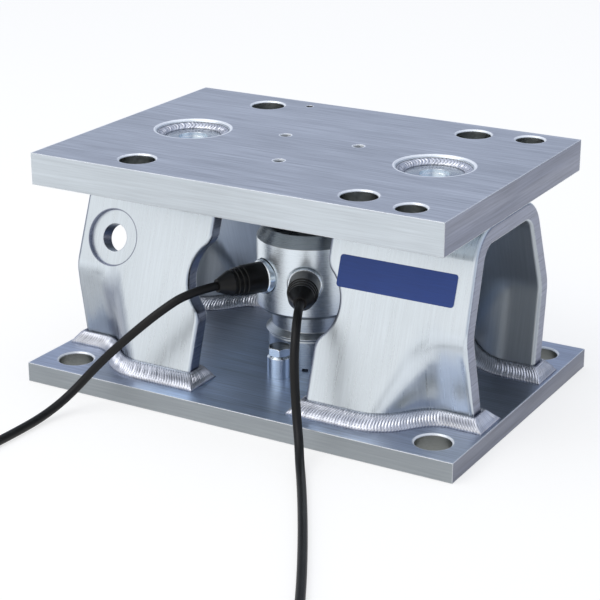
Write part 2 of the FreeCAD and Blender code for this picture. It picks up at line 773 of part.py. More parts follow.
def yoke_shape():
    stud_hole = Part.makeCylinder(
        float(dim.stud_dia) / 2 + float(dim.stud_play),
        3 * sheet_thick,
        Vector(float(dim.stud_x), 0, roof_level - 2 * sheet_thick),
    )
    arch = arch_shape().cut(stud_hole)
    blank = arch.fuse([leg_shape(-1), leg_shape(1)]).removeSplitter()
    notched = blank.cut(notch_tool())
    rounded = notched.makeFillet(float(dim.yoke_edge), rim_edges(notched))
    rounded.fix(0.001, 0.001, 0.01)
    return rounded


def leg_normal(side):
    return Vector(0, side * math.cos(slope), math.sin(slope))


def lock_hole_tool():
    """Hole square to each leg, with a sunk round face about its mouth."""
    level = foot_level + float(dim.lock_hole_height)
    tools = []
    for side in (-1, 1):
        out = leg_normal(side)
        mouth = Vector(float(dim.lock_hole_x), side * flare(level), level)
        floor = mouth - out * float(dim.spot_face_depth)
        tools.append(Part.makeCylinder(float(dim.spot_face_dia) / 2, sheet_thick, floor, out))
        start = mouth - out * (2 * sheet_thick)
        tools.append(Part.makeCylinder(float(dim.lock_hole_dia) / 2, 3 * sheet_thick, start, out))
    return tools


def foot_curve(face, side, level, spread, grow):
    """Edge of the weld along one face of a foot, moved out of the sheet by grow."""
    station_count = 16
    step = 0.05
    points = []
    for station in range(station_count):
        share = station / (station_count - 1)
        x = near_end + (far_end - near_end) * share
        along = (face(x + step, level) - face(x - step, level)) / (2 * step)
        weld_x = x + spread * (2 * share - 1)
        points.append(Vector(weld_x, side * (face(x, level) + grow * math.hypot(1, along)), 0))
    curve = Part.BSplineCurve()
    curve.interpolate(Points=points)
    return curve


def weld_outline(side, level, grow):
    outer = foot_curve(leg_outside, side, level, grow, grow)
    inner = foot_curve(leg_inside, side, level, grow, -grow)
    edges = [outer.toShape(), inner.toShape()]
    for start, stop in ((outer.StartPoint, inner.StartPoint), (outer.EndPoint, inner.EndPoint)):
        edges.append(Part.LineSegment(start, stop).toShape())
    wire = Part.Wire(Part.__sortEdges__(edges))
    wire.translate(Vector(0, 0, level))
    return wire


def weld_shape(yoke):
    """Fillet weld round both feet, with square mitred corners."""
    leg = float(dim.weld_leg)
    beads = []
    for side in (-1, 1):
        toe = weld_outline(side, foot_level, leg)
        upper = weld_outline(side, foot_level + leg, float(dim.weld_land))
        beads.append(Part.makeLoft([toe, upper], True, True).cut(yoke))
    return Part.makeCompound([solid for bead in beads for solid in bead.Solids])


def mirrored(shape):
    return shape.mirror(Vector(0, 0, 0), Vector(1, 0, 0))


def yokes():
    plain = yoke_shape()
    drilled = plain.cut(lock_hole_tool())
    shaped("right_yoke", plain)
    shaped("left_yoke", mirrored(drilled))
    shaped("right_yoke_weld", weld_shape(plain))
    shaped("left_yoke_weld", mirrored(weld_shape(plain)))


def label_plate():
    """Plain blue plate on the front leg of the right yoke."""
    body = new_body("LabelPlate")
    sketch = new_sketch(body, "XY_Plane")
    draw_rectangle(sketch, dim.label_length, dim.label_height)
    plate = pad(body, sketch, dim.label_thick)
    doc.recompute()
    corners = []
    for number, edge in enumerate(plate.Shape.Edges, start=1):
        if abs(edge.tangentAt(edge.FirstParameter).z) > 0.99:
            corners.append(f"Edge{number}")
    rounds = body.newObject("PartDesign::Fillet", "Corners")
    rounds.Base = (plate, corners)
    bind(rounds, Radius=dim.label_corner)
    level = foot_level + float(dim.label_level)
    seat = Vector(float(dim.label_x), -flare(level), level)
    body.Placement = Placement(seat, Rotation(Vector(1, 0, 0), 90 - float(dim.leg_slope)))
    return add_piece(body, "label_plate")


# Uplift stops

def check_set(side, prefix):
    """Stud welded into the top plate, with its weld, washer and nut."""
    x = dim.stud_x * side
    head = dim.stud_head_dia / 2
    shank = dim.stud_dia / 2
    pit = dim.stud_pit_dia / 2
    head_top = dim.top_thick - dim.stud_sink
    end = -dim.stud_drop
    edge = dim.receiver_edge
    stud = turned(
        prefix + "Stud",
        [
            (0, end),
            (shank - edge, end),
            (shank, end + edge),
            (shank, 0),
            (head, 0),
            (head, head_top),
            (pit, head_top),
            (pit, head_top - dim.stud_pit_depth),
            (0, head_top - dim.stud_pit_depth),
        ],
        level=deck,
    )
    bind_place(stud, x=x)
    add_piece(stud, f"{prefix}_check_stud")

    seat = dim.top_thick - dim.plug_weld_depth
    wall = dim.plug_weld_dia / 2
    bead = turned(
        prefix + "CheckWeld",
        [
            (head, seat),
            (wall, seat),
            (wall, dim.top_thick - dim.plug_weld_rim),
            (head + dim.plug_weld_throat, head_top + dim.plug_weld_foot),
            (head, head_top),
        ],
        level=deck,
    )
    bind_place(bead, x=x)
    add_piece(bead, f"{prefix}_check_weld")

    washer_top = roof_under - dim.lift_play
    washer_low = washer_top - dim.washer_thick
    hole = dim.stud_dia / 2 + dim.fit_gap
    thick = dim.washer_thick
    washer = turned(
        prefix + "Washer",
        [(hole, 0), (dim.washer_dia / 2, 0), (dim.washer_dia / 2, thick), (hole, thick)],
        level=washer_low,
    )
    bind_place(washer, x=x)
    add_piece(washer, f"{prefix}_check_washer")

    block = hexagon(prefix + "Nut", dim.nut_flats, dim.nut_height)
    bore = cylinder(prefix + "NutBore", dim.stud_dia + dim.fit_gap * 2, dim.nut_height)
    nut = cut(prefix + "Nut", block, bore)
    bind_place(nut, x=x, z=washer_low - dim.nut_height)
    add_piece(nut, f"{prefix}_check_nut")


# Load cell and its seats

def lower_receiver():
    outer = dim.lower_receiver_dia / 2
    spigot = dim.spigot_dia / 2
    high = dim.lower_receiver_height
    edge = dim.receiver_edge
    cup = dim.foot_dia / 2 + dim.fit_gap * 4
    seal = cup + dim.receiver_edge
    seal_out = seal + dim.seal_width
    groove = high - dim.seal_groove
    floor = high - dim.lower_seat_depth
    body = turned(
        "LowerReceiver",
        [
            (0, -dim.spigot_length),
            (spigot, -dim.spigot_length),
            (spigot, 0),
            (outer, 0),
            (outer, high - edge),
            (outer - edge / 2, high),
            (seal_out, high),
            (seal_out, groove),
            (seal, groove),
            (seal, high),
            (cup, high),
            (cup, floor),
            (0, floor),
        ],
        level=base_top,
    )
    slot = box("DrainSlot", dim.drain_width, dim.drain_depth * 2, dim.drain_height)
    turn = Rotation(Vector(0, 0, 1), float(dim.drain_angle))
    mouth = turn.multVec(Vector(0, -float(outer), 0))
    tool = group("DrainTool", slot)
    tool.Placement = Placement(Vector(mouth.x, mouth.y, float(base_top)), turn)
    add_piece(cut("DrainedReceiver", body, tool), "lower_receiver")
    gasket = ring(
        "LowerSeal",
        seal + dim.fit_gap,
        seal_out - dim.fit_gap,
        0,
        dim.seal_groove + dim.collar_gap,
        level=base_top + groove,
    )
    add_piece(gasket, "lower_seal")


def load_cell_column():
    foot = dim.foot_dia / 2
    collar = dim.collar_dia / 2
    neck = dim.neck_dia / 2
    core = dim.core_dia / 2
    waist = dim.waist_dia / 2
    button = dim.button_dia / 2
    crown = dim.crown_radius
    edge = dim.collar_edge
    foot_rise = crown - root(crown * crown - foot * foot)
    button_rise = crown - root(crown * crown - button * button)
    low = collar_low - seat_low
    high = collar_high - seat_low
    floor = housing_low - seat_low
    roof = housing_top - dim.housing_roof - dim.fit_gap * 5 - seat_low
    core_low = floor + dim.core_end
    core_high = roof - dim.core_end
    body = turned(
        "LoadCellColumn",
        [
            (0, 0),
            (foot, foot_rise),
            (foot, low),
            (collar - edge, low),
            (collar, low + edge),
            (collar, high - dim.collar_cone),
            (neck, high),
            (neck, floor),
            (core, floor),
            (core, core_low),
            (waist, core_low + dim.waist_taper),
            (waist, core_high - dim.waist_taper),
            (core, core_high),
            (core, roof),
            (button, roof),
            (button, dim.column_height - button_rise),
            (0, dim.column_height),
        ],
        arcs={0: crown, 15: crown},
        level=seat_low,
    )
    return add_piece(body, "load_cell_column")


def load_cell_housing():
    outer = dim.housing_dia / 2
    inner = outer - dim.housing_wall
    crown = dim.housing_crown_dia / 2
    floor_hole = dim.core_dia / 2 + dim.fit_gap
    button_hole = dim.button_dia / 2 + dim.button_play
    seal = dim.button_dia / 2 + dim.top_seal_width
    tall = dim.housing_height + dim.housing_cone
    roof = tall - dim.housing_roof
    edge = dim.housing_edge
    shell = turned(
        "HousingShell",
        [
            (floor_hole, 0),
            (outer - edge, 0),
            (outer, edge),
            (outer, dim.housing_height),
            (crown, tall),
            (seal, tall),
            (seal, tall - dim.top_seal_depth),
            (button_hole, tall - dim.top_seal_depth),
            (button_hole, roof),
            (inner, roof),
            (inner, dim.housing_floor),
            (floor_hole, dim.housing_floor),
        ],
        level=housing_low,
    )
    tools = []
    for name, angle in (("Left", dim.left_socket_angle), ("Front", dim.front_socket_angle)):
        spot = cylinder(name + "Spot", dim.spot_dia, dim.housing_dia)
        bore = cylinder(name + "Bore", dim.socket_dia + dim.fit_gap * 2, dim.housing_dia)
        for tool, start in ((spot, spot_face), (bore, inner - dim.housing_wall)):
            place = outward(angle, socket_axis)
            tool.Placement = place.multiply(Placement(Vector(0, 0, float(start)), Rotation()))
            tools.append(tool)
    add_piece(cut("Housing", shell, *tools), "load_cell_housing")

    gasket = ring(
        "UpperSeal",
        dim.button_dia / 2 + dim.fit_gap,
        seal - dim.fit_gap,
        0,
        dim.top_seal_depth,
        level=housing_top - dim.top_seal_depth,
    )
    add_piece(gasket, "upper_seal")

    board = box("Board", dim.board_width, dim.board_thick, dim.board_height)
    bind_place(board, y=dim.board_y, z=housing_low + dim.housing_floor)
    add_piece(board, "load_cell_board")


def plug_corners(start):
    """Moulded plug: a bore for the socket, a barrel, three ribs and a cone down to the cable."""
    barrel = dim.plug_dia / 2
    bore = dim.socket_dia / 2 + dim.fit_gap
    bore_end = spot_face + dim.socket_outside + dim.fit_gap
    corners = [(bore, start), (barrel, start)]
    along = start + dim.plug_barrel
    radius = barrel
    corners.append((radius, along))
    for _ in range(3):
        groove = radius - dim.plug_rib_depth
        radius = radius - dim.plug_rib_taper
        corners.append((groove, along + dim.plug_rib_pitch * 0.15))
        corners.append((groove, along + dim.plug_rib_pitch * 0.4))
        corners.append((radius, along + dim.plug_rib_pitch * 0.55))
        along = along + dim.plug_rib_pitch
        corners.append((radius, along))
    tip = along + dim.plug_cone
    corners += [(dim.plug_tip_dia / 2, tip), (0, tip), (0, bore_end), (bore, bore_end)]
    return corners, tip


def connector(prefix, plug_label, ring_label, place):
    """Moulded plug with its metal coupling ring, on the same axis."""
    plug_start = spot_face + dim.ring_height
    corners, _ = plug_corners(plug_start)
    plug = turned(prefix + "Plug", corners)
    plug.Placement = place
    add_piece(plug, plug_label)
    metal = ring(
        prefix + "Ring",
        dim.socket_dia / 2 + dim.fit_gap,
        dim.ring_dia / 2,
        spot_face,
        plug_start,
        edge=dim.ring_edge,
    )
    metal.Placement = place
    add_piece(metal, ring_label)


def sockets():
    for prefix, angle in (("left", dim.left_socket_angle), ("front", dim.front_socket_angle)):
        place = outward(angle, socket_axis)
        socket = turned(
            prefix + "Socket",
            [
                (0, spot_face - dim.socket_inside),
                (dim.socket_dia / 2, spot_face - dim.socket_inside),
                (dim.socket_dia / 2, spot_face + dim.socket_outside),
                (0, spot_face + dim.socket_outside),
            ],
        )
        socket.Placement = place
        add_piece(socket, f"{prefix}_socket")
        connector(prefix, f"{prefix}_plug", f"{prefix}_plug_ring", place)


def upper_receiver():
    disc = cylinder("FlangeDisc", dim.flange_dia, dim.flange_thick)
    sides = box("FlangeSides", dim.flange_width, dim.flange_dia, dim.flange_thick)
    flange = common("Flange", disc, sides)
    bind_place(flange, z=deck - dim.flange_thick)
    low = deck - dim.upper_receiver_height
    boss = cylinder("ReceiverBoss", dim.upper_boss_dia, dim.upper_receiver_height)
    bind_place(boss, z=low)
    cup = cylinder("ReceiverCup", dim.button_dia + dim.button_play * 2, dim.upper_seat_depth)
    bind_place(cup, z=low)
    tools = [cup]
    for number, (x, y) in enumerate(screw_places(), start=1):
        hole = cylinder(f"FlangeHole{number}", dim.screw_dia + dim.fit_gap * 2, dim.flange_thick)
        bind_place(hole, x=x if isinstance(x, Measure) else None, y=y, z=deck - dim.flange_thick)
        tools.append(hole)
    add_piece(cut("Receiver", fuse("ReceiverBlank", flange, boss), *tools), "upper_receiver")

    screws = []
    for number, (x, y) in enumerate(screw_places(), start=1):
        seat = dim.top_thick - dim.screw_sink - dim.screw_head_height
        screw = turned(
            f"ReceiverScrew{number}",
            [
                (0, -dim.screw_bite),
                (dim.screw_dia / 2, -dim.screw_bite),
                (dim.screw_dia / 2, seat),
                (dim.screw_head_dia / 2, seat),
                (dim.screw_head_dia / 2, seat + dim.screw_head_height),
                (0, seat + dim.screw_head_height),
            ],
            level=deck,
        )
        bind_place(screw, x=x if isinstance(x, Measure) else None, y=y)
        screws.append(screw)
    add_piece(group("ReceiverScrews", *screws), "receiver_screws")


def stop():
    """Hexagon bolt and sleeve that keep the load cell from turning."""
    bore = dim.stop_bolt_dia / 2 + dim.fit_gap
    outer = dim.sleeve_dia / 2
    high = dim.sleeve_height
    sleeve = turned(
        "StopSleeve",
        [(bore, 0), (outer, 0), (outer, high - dim.sleeve_edge), (outer - dim.sleeve_edge, high), (bore, high)],
        level=base_top,
    )
    bind_place(sleeve, y=-dim.stop_y)
    add_piece(sleeve, "stop_sleeve")

    head = hexagon("StopHead", dim.stop_bolt_flats, dim.stop_head_height)
    bind_place(head, z=high)
    shank = cylinder("StopShank", dim.stop_bolt_dia, high + dim.stop_bolt_bite)
    bind_place(shank, z=-dim.stop_bolt_bite)
    bolt = fuse("StopBolt", head, shank)
    bind_place(bolt, y=-dim.stop_y, z=base_top)
    add_piece(bolt, "stop_bolt")


# Cables

def rounded_path(points):
    """Straight runs joined by the largest tangent arcs that they leave room for."""
    edges = []
    radii = []
    start = points[0]
    for before, corner, after in zip(points, points[1:], points[2:]):
        run_in = corner - before
        run_out = after - corner
        half_turn = run_in.getAngle(run_out) / 2
        trim = 0.45 * min(run_in.Length, run_out.Length)
        radii.append(trim / math.tan(half_turn))
        entry = corner - Vector(run_in).normalize() * trim
        leave = corner + Vector(run_out).normalize() * trim
        bisector = ((entry + leave) / 2 - corner).normalize()
        depth = radii[-1] / math.cos(half_turn) - radii[-1]
        edges.append(Part.LineSegment(start, entry).toShape())
        edges.append(Part.Arc(entry, corner + bisector * depth, leave).toShape())
        start = leave
    edges.append(Part.LineSegment(start, points[-1]).toShape())
    return Part.Wire(edges), radii


def tube(label, points, diameter):
    path, radii = rounded_path(points)
    run = points[1] - points[0]
    section = Part.Wire(Part.makeCircle(diameter / 2, points[0], run))
    solid = path.makePipeShell([section], True, False)
    expected = math.pi * diameter ** 2 / 4 * path.Length
    if abs(solid.Volume / expected - 1) > 0.01:
        raise RuntimeError(f"{label}: the tube is not its section times its length")
    print(label, "length", round(path.Length, 1), "radii", [round(radius, 1) for radius in radii])
    return solid


def coil_place(start, angle):
    """Middle of a coil whose outermost turn passes through start at this compass angle."""
    reach = coil_outer_turn()
    turn = math.radians(angle)
    return Vector(start.x - reach * math.cos(turn), start.y - reach * math.sin(turn), 0)


def coil_outer_turn():
    return float(dim.coil_mean_dia + dim.coil_turn_pitch * dim.coil_turns_wide) / 2


def coil_half_width():
    return (dim.coil_turn_pitch * dim.coil_turns_wide + dim.cable_dia) / 2 + dim.coil_slack


def up_to_coil(shape, place):
    """The part of a shape that lies outside the round of a coil."""
    radius = float(dim.coil_mean_dia / 2 + coil_half_width())
    tall = float(dim.cable_dia) * 6
    return shape.cut(Part.makeCylinder(radius, tall, place - Vector(0, 0, tall / 2)))


def coil(prefix, place):
    """Outer shape of two layers of turns, lying on its ties."""
    half_width = coil_half_width()
    inner = dim.coil_mean_dia / 2 - half_width
    outer = dim.coil_mean_dia / 2 + half_width
    tall = dim.coil_turn_pitch + dim.cable_dia
    edge = dim.cable_dia / 4
    body = turned(
        prefix + "Coil",
        [
            (inner + edge, 0),
            (outer - edge, 0),
            (outer, edge),
            (outer, tall - edge),
            (outer - edge, tall),
            (inner + edge, tall),
            (inner, tall - edge),
            (inner, edge),
        ],
        level=dim.tie_thick,
    )
    body.Placement = Placement(place + Vector(0, 0, float(dim.tie_thick)), Rotation())
    add_piece(body, f"{prefix}_coil")

    ties = []
    for number, angle in enumerate(TIE_ANGLES, start=1):
        wide = half_width * 2 + dim.tie_gap * 2
        loop = box(f"{prefix}Tie{number}", wide + dim.tie_thick * 2, dim.tie_width, tall + dim.tie_thick * 2)
        hollow = box(f"{prefix}TieHollow{number}", wide, dim.tie_width * 2, tall)
        bind_place(hollow, z=dim.tie_thick)
        strap = cut(f"{prefix}Strap{number}", loop, hollow)
        turn = Rotation(Vector(0, 0, 1), angle)
        reach = turn.multVec(Vector(float(dim.coil_mean_dia) / 2, 0, 0))
        strap.Placement = Placement(place + reach, turn)
        ties.append(strap)
    add_piece(group(prefix + "Ties", *ties), f"{prefix}_coil_ties")


def cable(prefix, angle, route, coil_angle, tail_angle):
    """Free cable from the tip of its plug to a tied coil, and on to the plug on its far end."""
    diameter = float(dim.cable_dia)
    _, tip = plug_corners(spot_face + dim.ring_height)
    first = outward(angle, socket_axis).multVec(Vector(0, 0, float(tip)))
    points = [first] + [Vector(*point) for point in route]
    middle = coil_place(points[-1], coil_angle)
    coil(prefix, middle)
    shaped(f"{prefix}_cable", up_to_coil(tube(prefix + "_cable", points, diameter), middle))

    turn = math.radians(tail_angle)
    heading = Vector(math.sin(turn), -math.cos(turn), 0)
    far_axis = float(dim.ring_dia) / 2
    leave = middle + Vector(math.cos(turn), math.sin(turn), 0) * coil_outer_turn()
    leave.z = far_axis
    straight = Part.makeCylinder(diameter / 2, float(dim.tail_length), leave, heading)
    shaped(f"{prefix}_tail", up_to_coil(straight, middle))

    origin = leave + heading * (float(dim.tail_length) + float(tip))
    place = Placement(origin, Rotation(Vector(0, 0, 1), -heading))
    connector(prefix + "Far", f"{prefix}_far_plug", f"{prefix}_far_ring", place)


def main():
    base_plate()
    top_plate()
    yokes()
    label_plate()
    check_set(-1, "left")
    check_set(1, "right")
    lower_receiver()
    load_cell_column()
    load_cell_housing()
    sockets()
    upper_receiver()
    stop()
    cable("left", dim.left_socket_angle, LEFT_ROUTE, LEFT_COIL_ANGLE, LEFT_TAIL_ANGLE)
    cable("front", dim.front_socket_angle, FRONT_ROUTE, FRONT_COIL_ANGLE, FRONT_TAIL_ANGLE)
    doc.recompute()

    for obj in doc.Objects:
        if "Invalid" in obj.State or "Error" in obj.State:
            raise RuntimeError(f"{obj.Name} failed: {obj.State}")
    for piece in pieces:
        if piece.Shape.isNull() or not piece.Shape.isValid() or not piece.Shape.Solids:
            raise RuntimeError(f"{piece.Label} has no sound solid")

    os.makedirs("parts", exist_ok=True)
    for piece in pieces:
        piece.Shape.exportStep(f"parts/{piece.Label}.step")


main()
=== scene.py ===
import math
import random

import bmesh
import bpy
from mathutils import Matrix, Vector

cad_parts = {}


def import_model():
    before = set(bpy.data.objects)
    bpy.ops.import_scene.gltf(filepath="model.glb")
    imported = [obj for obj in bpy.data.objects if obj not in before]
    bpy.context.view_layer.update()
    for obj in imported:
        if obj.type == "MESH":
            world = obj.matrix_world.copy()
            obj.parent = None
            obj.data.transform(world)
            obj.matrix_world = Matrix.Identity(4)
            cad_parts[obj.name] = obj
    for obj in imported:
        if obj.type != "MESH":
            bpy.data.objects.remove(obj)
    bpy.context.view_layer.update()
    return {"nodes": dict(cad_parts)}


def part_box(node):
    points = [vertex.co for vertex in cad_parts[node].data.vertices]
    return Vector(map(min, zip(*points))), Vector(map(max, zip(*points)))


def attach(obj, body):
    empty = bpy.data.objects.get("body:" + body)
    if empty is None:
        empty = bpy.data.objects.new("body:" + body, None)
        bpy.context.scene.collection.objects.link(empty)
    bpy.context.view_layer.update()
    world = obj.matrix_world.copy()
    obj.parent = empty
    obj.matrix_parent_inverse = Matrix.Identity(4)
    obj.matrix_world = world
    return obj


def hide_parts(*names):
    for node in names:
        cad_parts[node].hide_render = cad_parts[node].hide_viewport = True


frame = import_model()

# Weighing module, in metres. X runs along the module, -Y is its front and +Z is up.

nodes = frame["nodes"]
scene = bpy.context.scene


# Materials

class Graph:
    """Node tree in which an input that is a socket is linked, and any other input is set."""

    NOISE_MIDDLE = (0.3, 0.7)
    EDGE_SAMPLES = 6
    EDGE_MATCH = (0.995, 0.90)

    def __init__(self, tree):
        self.tree = tree
        tree.nodes.clear()

    def add(self, kind, inputs=None, output=0, **settings):
        node = self.tree.nodes.new(kind)
        for name, value in settings.items():
            setattr(node, name, value)
        for name, value in (inputs or {}).items():
            if isinstance(value, bpy.types.NodeSocket):
                self.tree.links.new(value, node.inputs[name])
            else:
                node.inputs[name].default_value = value
        return node.outputs[output] if node.outputs else node

    def place(self):
        return self.add("ShaderNodeTexCoord", output="Object")

    def stretched(self, vector, scale):
        return self.add("ShaderNodeMapping", {"Vector": vector, "Scale": scale})

    def noise(self, vector, scale=1.0, detail=3.0, roughness=0.55):
        inputs = {"Vector": vector, "Scale": scale, "Detail": detail, "Roughness": roughness}
        return self.add("ShaderNodeTexNoise", inputs)

    def math(self, operation, first, second=0.0, clamp=False):
        inputs = {0: first, 1: second}
        return self.add("ShaderNodeMath", inputs, operation=operation, use_clamp=clamp)

    def plus(self, first, second, clamp=False):
        return self.math("ADD", first, second, clamp)

    def minus(self, first, second):
        return self.math("SUBTRACT", first, second)

    def times(self, first, second):
        return self.math("MULTIPLY", first, second)

    def larger(self, first, second):
        return self.math("MAXIMUM", first, second)

    def absolute(self, value):
        return self.math("ABSOLUTE", value)

    def length(self, first, second):
        return self.math("SQRT", self.plus(self.times(first, first), self.times(second, second)))

    def span(self, value, low, high, to_low=0.0, to_high=1.0):
        """Value carried from one range to another and kept inside it."""
        ranges = {"From Min": low, "From Max": high, "To Min": to_low, "To Max": to_high}
        return self.add("ShaderNodeMapRange", {"Value": value, **ranges}, clamp=True)

    def spread(self, noise, to_low=0.0, to_high=1.0):
        """Middle part of a noise, carried to a range."""
        return self.span(noise, *self.NOISE_MIDDLE, to_low, to_high)

    def outside(self, zone):
        return self.span(zone, 1.0, 0.0)

    def mix(self, factor, first, second, blend="MIX"):
        inputs = {0: factor, 6: first, 7: second}
        return self.add("ShaderNodeMix", inputs, output=2, data_type="RGBA", blend_type=blend)

    def bump(self, height, strength, distance, normal=None):
        inputs = {"Height": height, "Strength": strength, "Distance": distance}
        if normal is not None:
            inputs["Normal"] = normal
        return self.add("ShaderNodeBump", inputs)

    def blend(self, factor, first, second):
        return self.add("ShaderNodeMix", {0: factor, 2: first, 3: second}, data_type="FLOAT")

    def split(self, vector):
        return self.add("ShaderNodeSeparateXYZ", {"Vector": vector}).node.outputs

    def dot(self, first, second):
        inputs = {0: first, 1: second}
        return self.add("ShaderNodeVectorMath", inputs, output="Value", operation="DOT_PRODUCT")

    def facing(self):
        """X, Y and Z of the surface's own direction."""
        return self.split(self.add("ShaderNodeTexCoord", output="Normal"))

    def edges(self, radius):
        """1 along the edges of a piece and 0 away from them, and the direction of the broken edges."""
        soft = self.add("ShaderNodeBevel", {"Radius": radius}, samples=self.EDGE_SAMPLES)
        true = self.add("ShaderNodeNewGeometry", output="Normal")
        return self.span(self.dot(soft, true), *self.EDGE_MATCH), soft

    def finish(self, **inputs):
        named = {name.replace("_", " "): value for name, value in inputs.items()}
        shader = self.add("ShaderNodeBsdfPrincipled", named)
        self.add("ShaderNodeOutputMaterial", {"Surface": shader})


def new_material(name):
    material = bpy.data.materials.new(name)
    material.use_nodes = True
    return material, Graph(material.node_tree)


def grey(level, tint=(1.0, 1.0, 1.0)):
    return (level * tint[0], level * tint[1], level * tint[2], 1.0)


# Tints of the materials, several of which carry painted shade, painted reflection and painted
# highlights
COOL = (0.925, 1.0, 1.06)
SLATE = (0.87, 0.97, 1.18)
LILAC = (0.90, 0.97, 1.24)
TOP_GREY = (0.96, 1.0, 1.08)
SHELTERED_BLUE = (0.87, 1.07, 1.42)
DISH_REFLECTION_GREY = (0.92, 1.0, 1.08)
WELD_GREY = (0.97, 0.99, 1.07)
BORE_SHADE_GREY = (0.95, 1.0, 0.98)
HIGHLIGHT_WHITE = (0.96, 0.99, 1.02)
WARM_BLACK = (1.0, 0.95, 0.90)
LABEL_BLUES = ((0.018, 0.062, 0.29, 1.0), (0.026, 0.080, 0.36, 1.0))
LABEL_FADED = (0.028, 0.080, 0.33, 1.0)
LABEL_FADING = 0.3
BOARD_GREENS = ((0.01, 0.09, 0.035, 1.0), (0.02, 0.14, 0.05, 1.0))

# Fine grain and clouds: part of a noise that counts as a cloud, depths of the grain, and how much
# smoother and rougher than its mean a surface gets
CLOUD_RANGE = (0.35, 0.7)
GRAIN_DEPTH = 0.0002
LATHE_DEPTH = 0.0001
SMOOTHER = 0.05
ROUGHER = 0.08
GROUND_ROUGHER = 0.07

# Grinding: lines per metre along X, Y and Z, and how far they lighten and darken the steel
PLATE_LINES = (20.0, 800.0, 800.0)
YOKE_LINES = (700.0, 30.0, 24.0)
END_LINES = (800.0, 20.0, 800.0)
COARSE_SCALE = 0.12
COARSE_SHARE = 0.2
LINE_RANGE = (0.35, 0.65)
SIDE_CONTRAST = 0.10
YOKE_CONTRAST = 0.07
END_CONTRAST = 0.26
TOP_CONTRAST = 0.24
GROUND_CLOUD = 0.94

# Share of a face's direction along an axis from which it counts as square to it
SQUARE = (0.80, 0.95)

# Painted highlights along the edges: widths, levels, and how metallic they look
SIDE_EDGE = 0.0008
TOP_EDGE = 0.0015
TURNED_EDGE = 0.0005
HIGHLIGHT_LEVEL = 0.98
TURNED_HIGHLIGHT_LEVEL = 0.90
HIGHLIGHT_METAL = 0.35

# Plates: bores, which are upright faces away from the sides and get painted shade, with their chamfers
# and lips, which get painted highlights
BORE_SHADE_LEVEL = 0.26
BORE_FACING_Z = (0.4, 0.2)
BORE_MARGIN = (0.003, 0.002)
CHAMFER_FACING_Z = ((0.45, 0.60), (0.92, 0.80))
CHAMFER_DEPTH = (0.0010, 0.0007)
LIP_DEPTH = (0.0015, 0.0012)
LIP_REACH = (0.055, 0.050)

# Painted highlights on the rims of the top plate's recesses and screw holes: distance from the middle
# along X, Y, radius
RECESS_X = 0.086
TOP_RIMS = ((RECESS_X, 0.0, 0.0245), (0.0262, 0.0154, 0.0035), (0.0, -0.0374, 0.0035))
RIM_WIDTH = (0.0011, 0.0006)

# Middle of the base plate, which the load cell and the yokes shelter, and which gets a bluer painted
# shade
SHELTERED_X = (0.075, 0.040)

# Yokes: faces of the legs' cut edges, their left rims, the dishes and the inside, which get painted
# shade and painted reflection
LEG_EDGE_FACING_Y = (0.50, 0.36)
LEG_EDGE_Z = (0.112, 0.108)
RISING_FACING_Z = (0.0, 0.12)
RISING_RIM_FACING_X = (-0.30, -0.50)
LEFT_RIM_FACING_X = (-0.50, -0.72)
BETWEEN_YOKES_X = (-0.02, 0.02)
DISH_FACING_Z = (0.14, -0.22)
DISH_SIDE_FACING_X = (-0.06, -0.36)
DISH_SIDE_SHADE_LEVEL = 0.30
INNER_LEG = (-0.004, -0.016)
INNER_ROOF_FACING_Z = (-0.5, -0.8)
ROLLED_ROUGHNESS = 0.36
YOKE_ROUGHNESS = 0.29

# Sunk round face in each leg of the left yoke, whose wall is drawn as a line of painted shade
SUNK_MIDDLE = (-0.113, 0.05437, 0.090)
SUNK_LEAN = math.radians(18.5)
SUNK_RADIUS = 0.018
SUNK_SHADE_LINE = (0.0008, 0.0003)

# Turned steel: lines per metre along X, Y and Z, shades of its lines and clouds, faces that get painted
# shade on the top and foot, and the stud's pit, which is left out of it
LATHE_LINES = (2.0, 2.0, 2600.0)
LATHE_SHADES = (0.92, 1.06)
LATHE_CLOUD = 0.86
LATHE_CLOUD_SHARE = 0.2
TURNED_TOP_FACING_Z = (0.25, 0.6)
PIT_RADIUS = 0.0095
PIT_RIM = 0.0002

# Weld beads: shades of the metal, and the painted shade in the valleys between its crests
WELD_SHADES = (1.1, 0.85)
VALLEY_SHADE = 0.22
CREST_RANGE = (0.05, 0.6)

# Plastic, rubber, lacquer and laminate: shades, and lines per metre along X, Y and Z
PLASTIC_CLOUD = 1.6
RUBBER_GREYS = (grey(0.016), grey(0.026))
LACQUER_LINES = (60.0, 1500.0, 1500.0)
WEAVE_LINES = (1200.0, 1200.0, 300.0)


def streaked(graph, place, streaks):
    """Grinding lines, finer and coarser."""
    coarser = [count * COARSE_SCALE for count in streaks]
    fine = graph.noise(graph.stretched(place, streaks), detail=5.0, roughness=0.65)
    coarse = graph.noise(graph.stretched(place, coarser), detail=2.0)
    return graph.plus(graph.times(fine, 1 - COARSE_SHARE), graph.times(coarse, COARSE_SHARE))


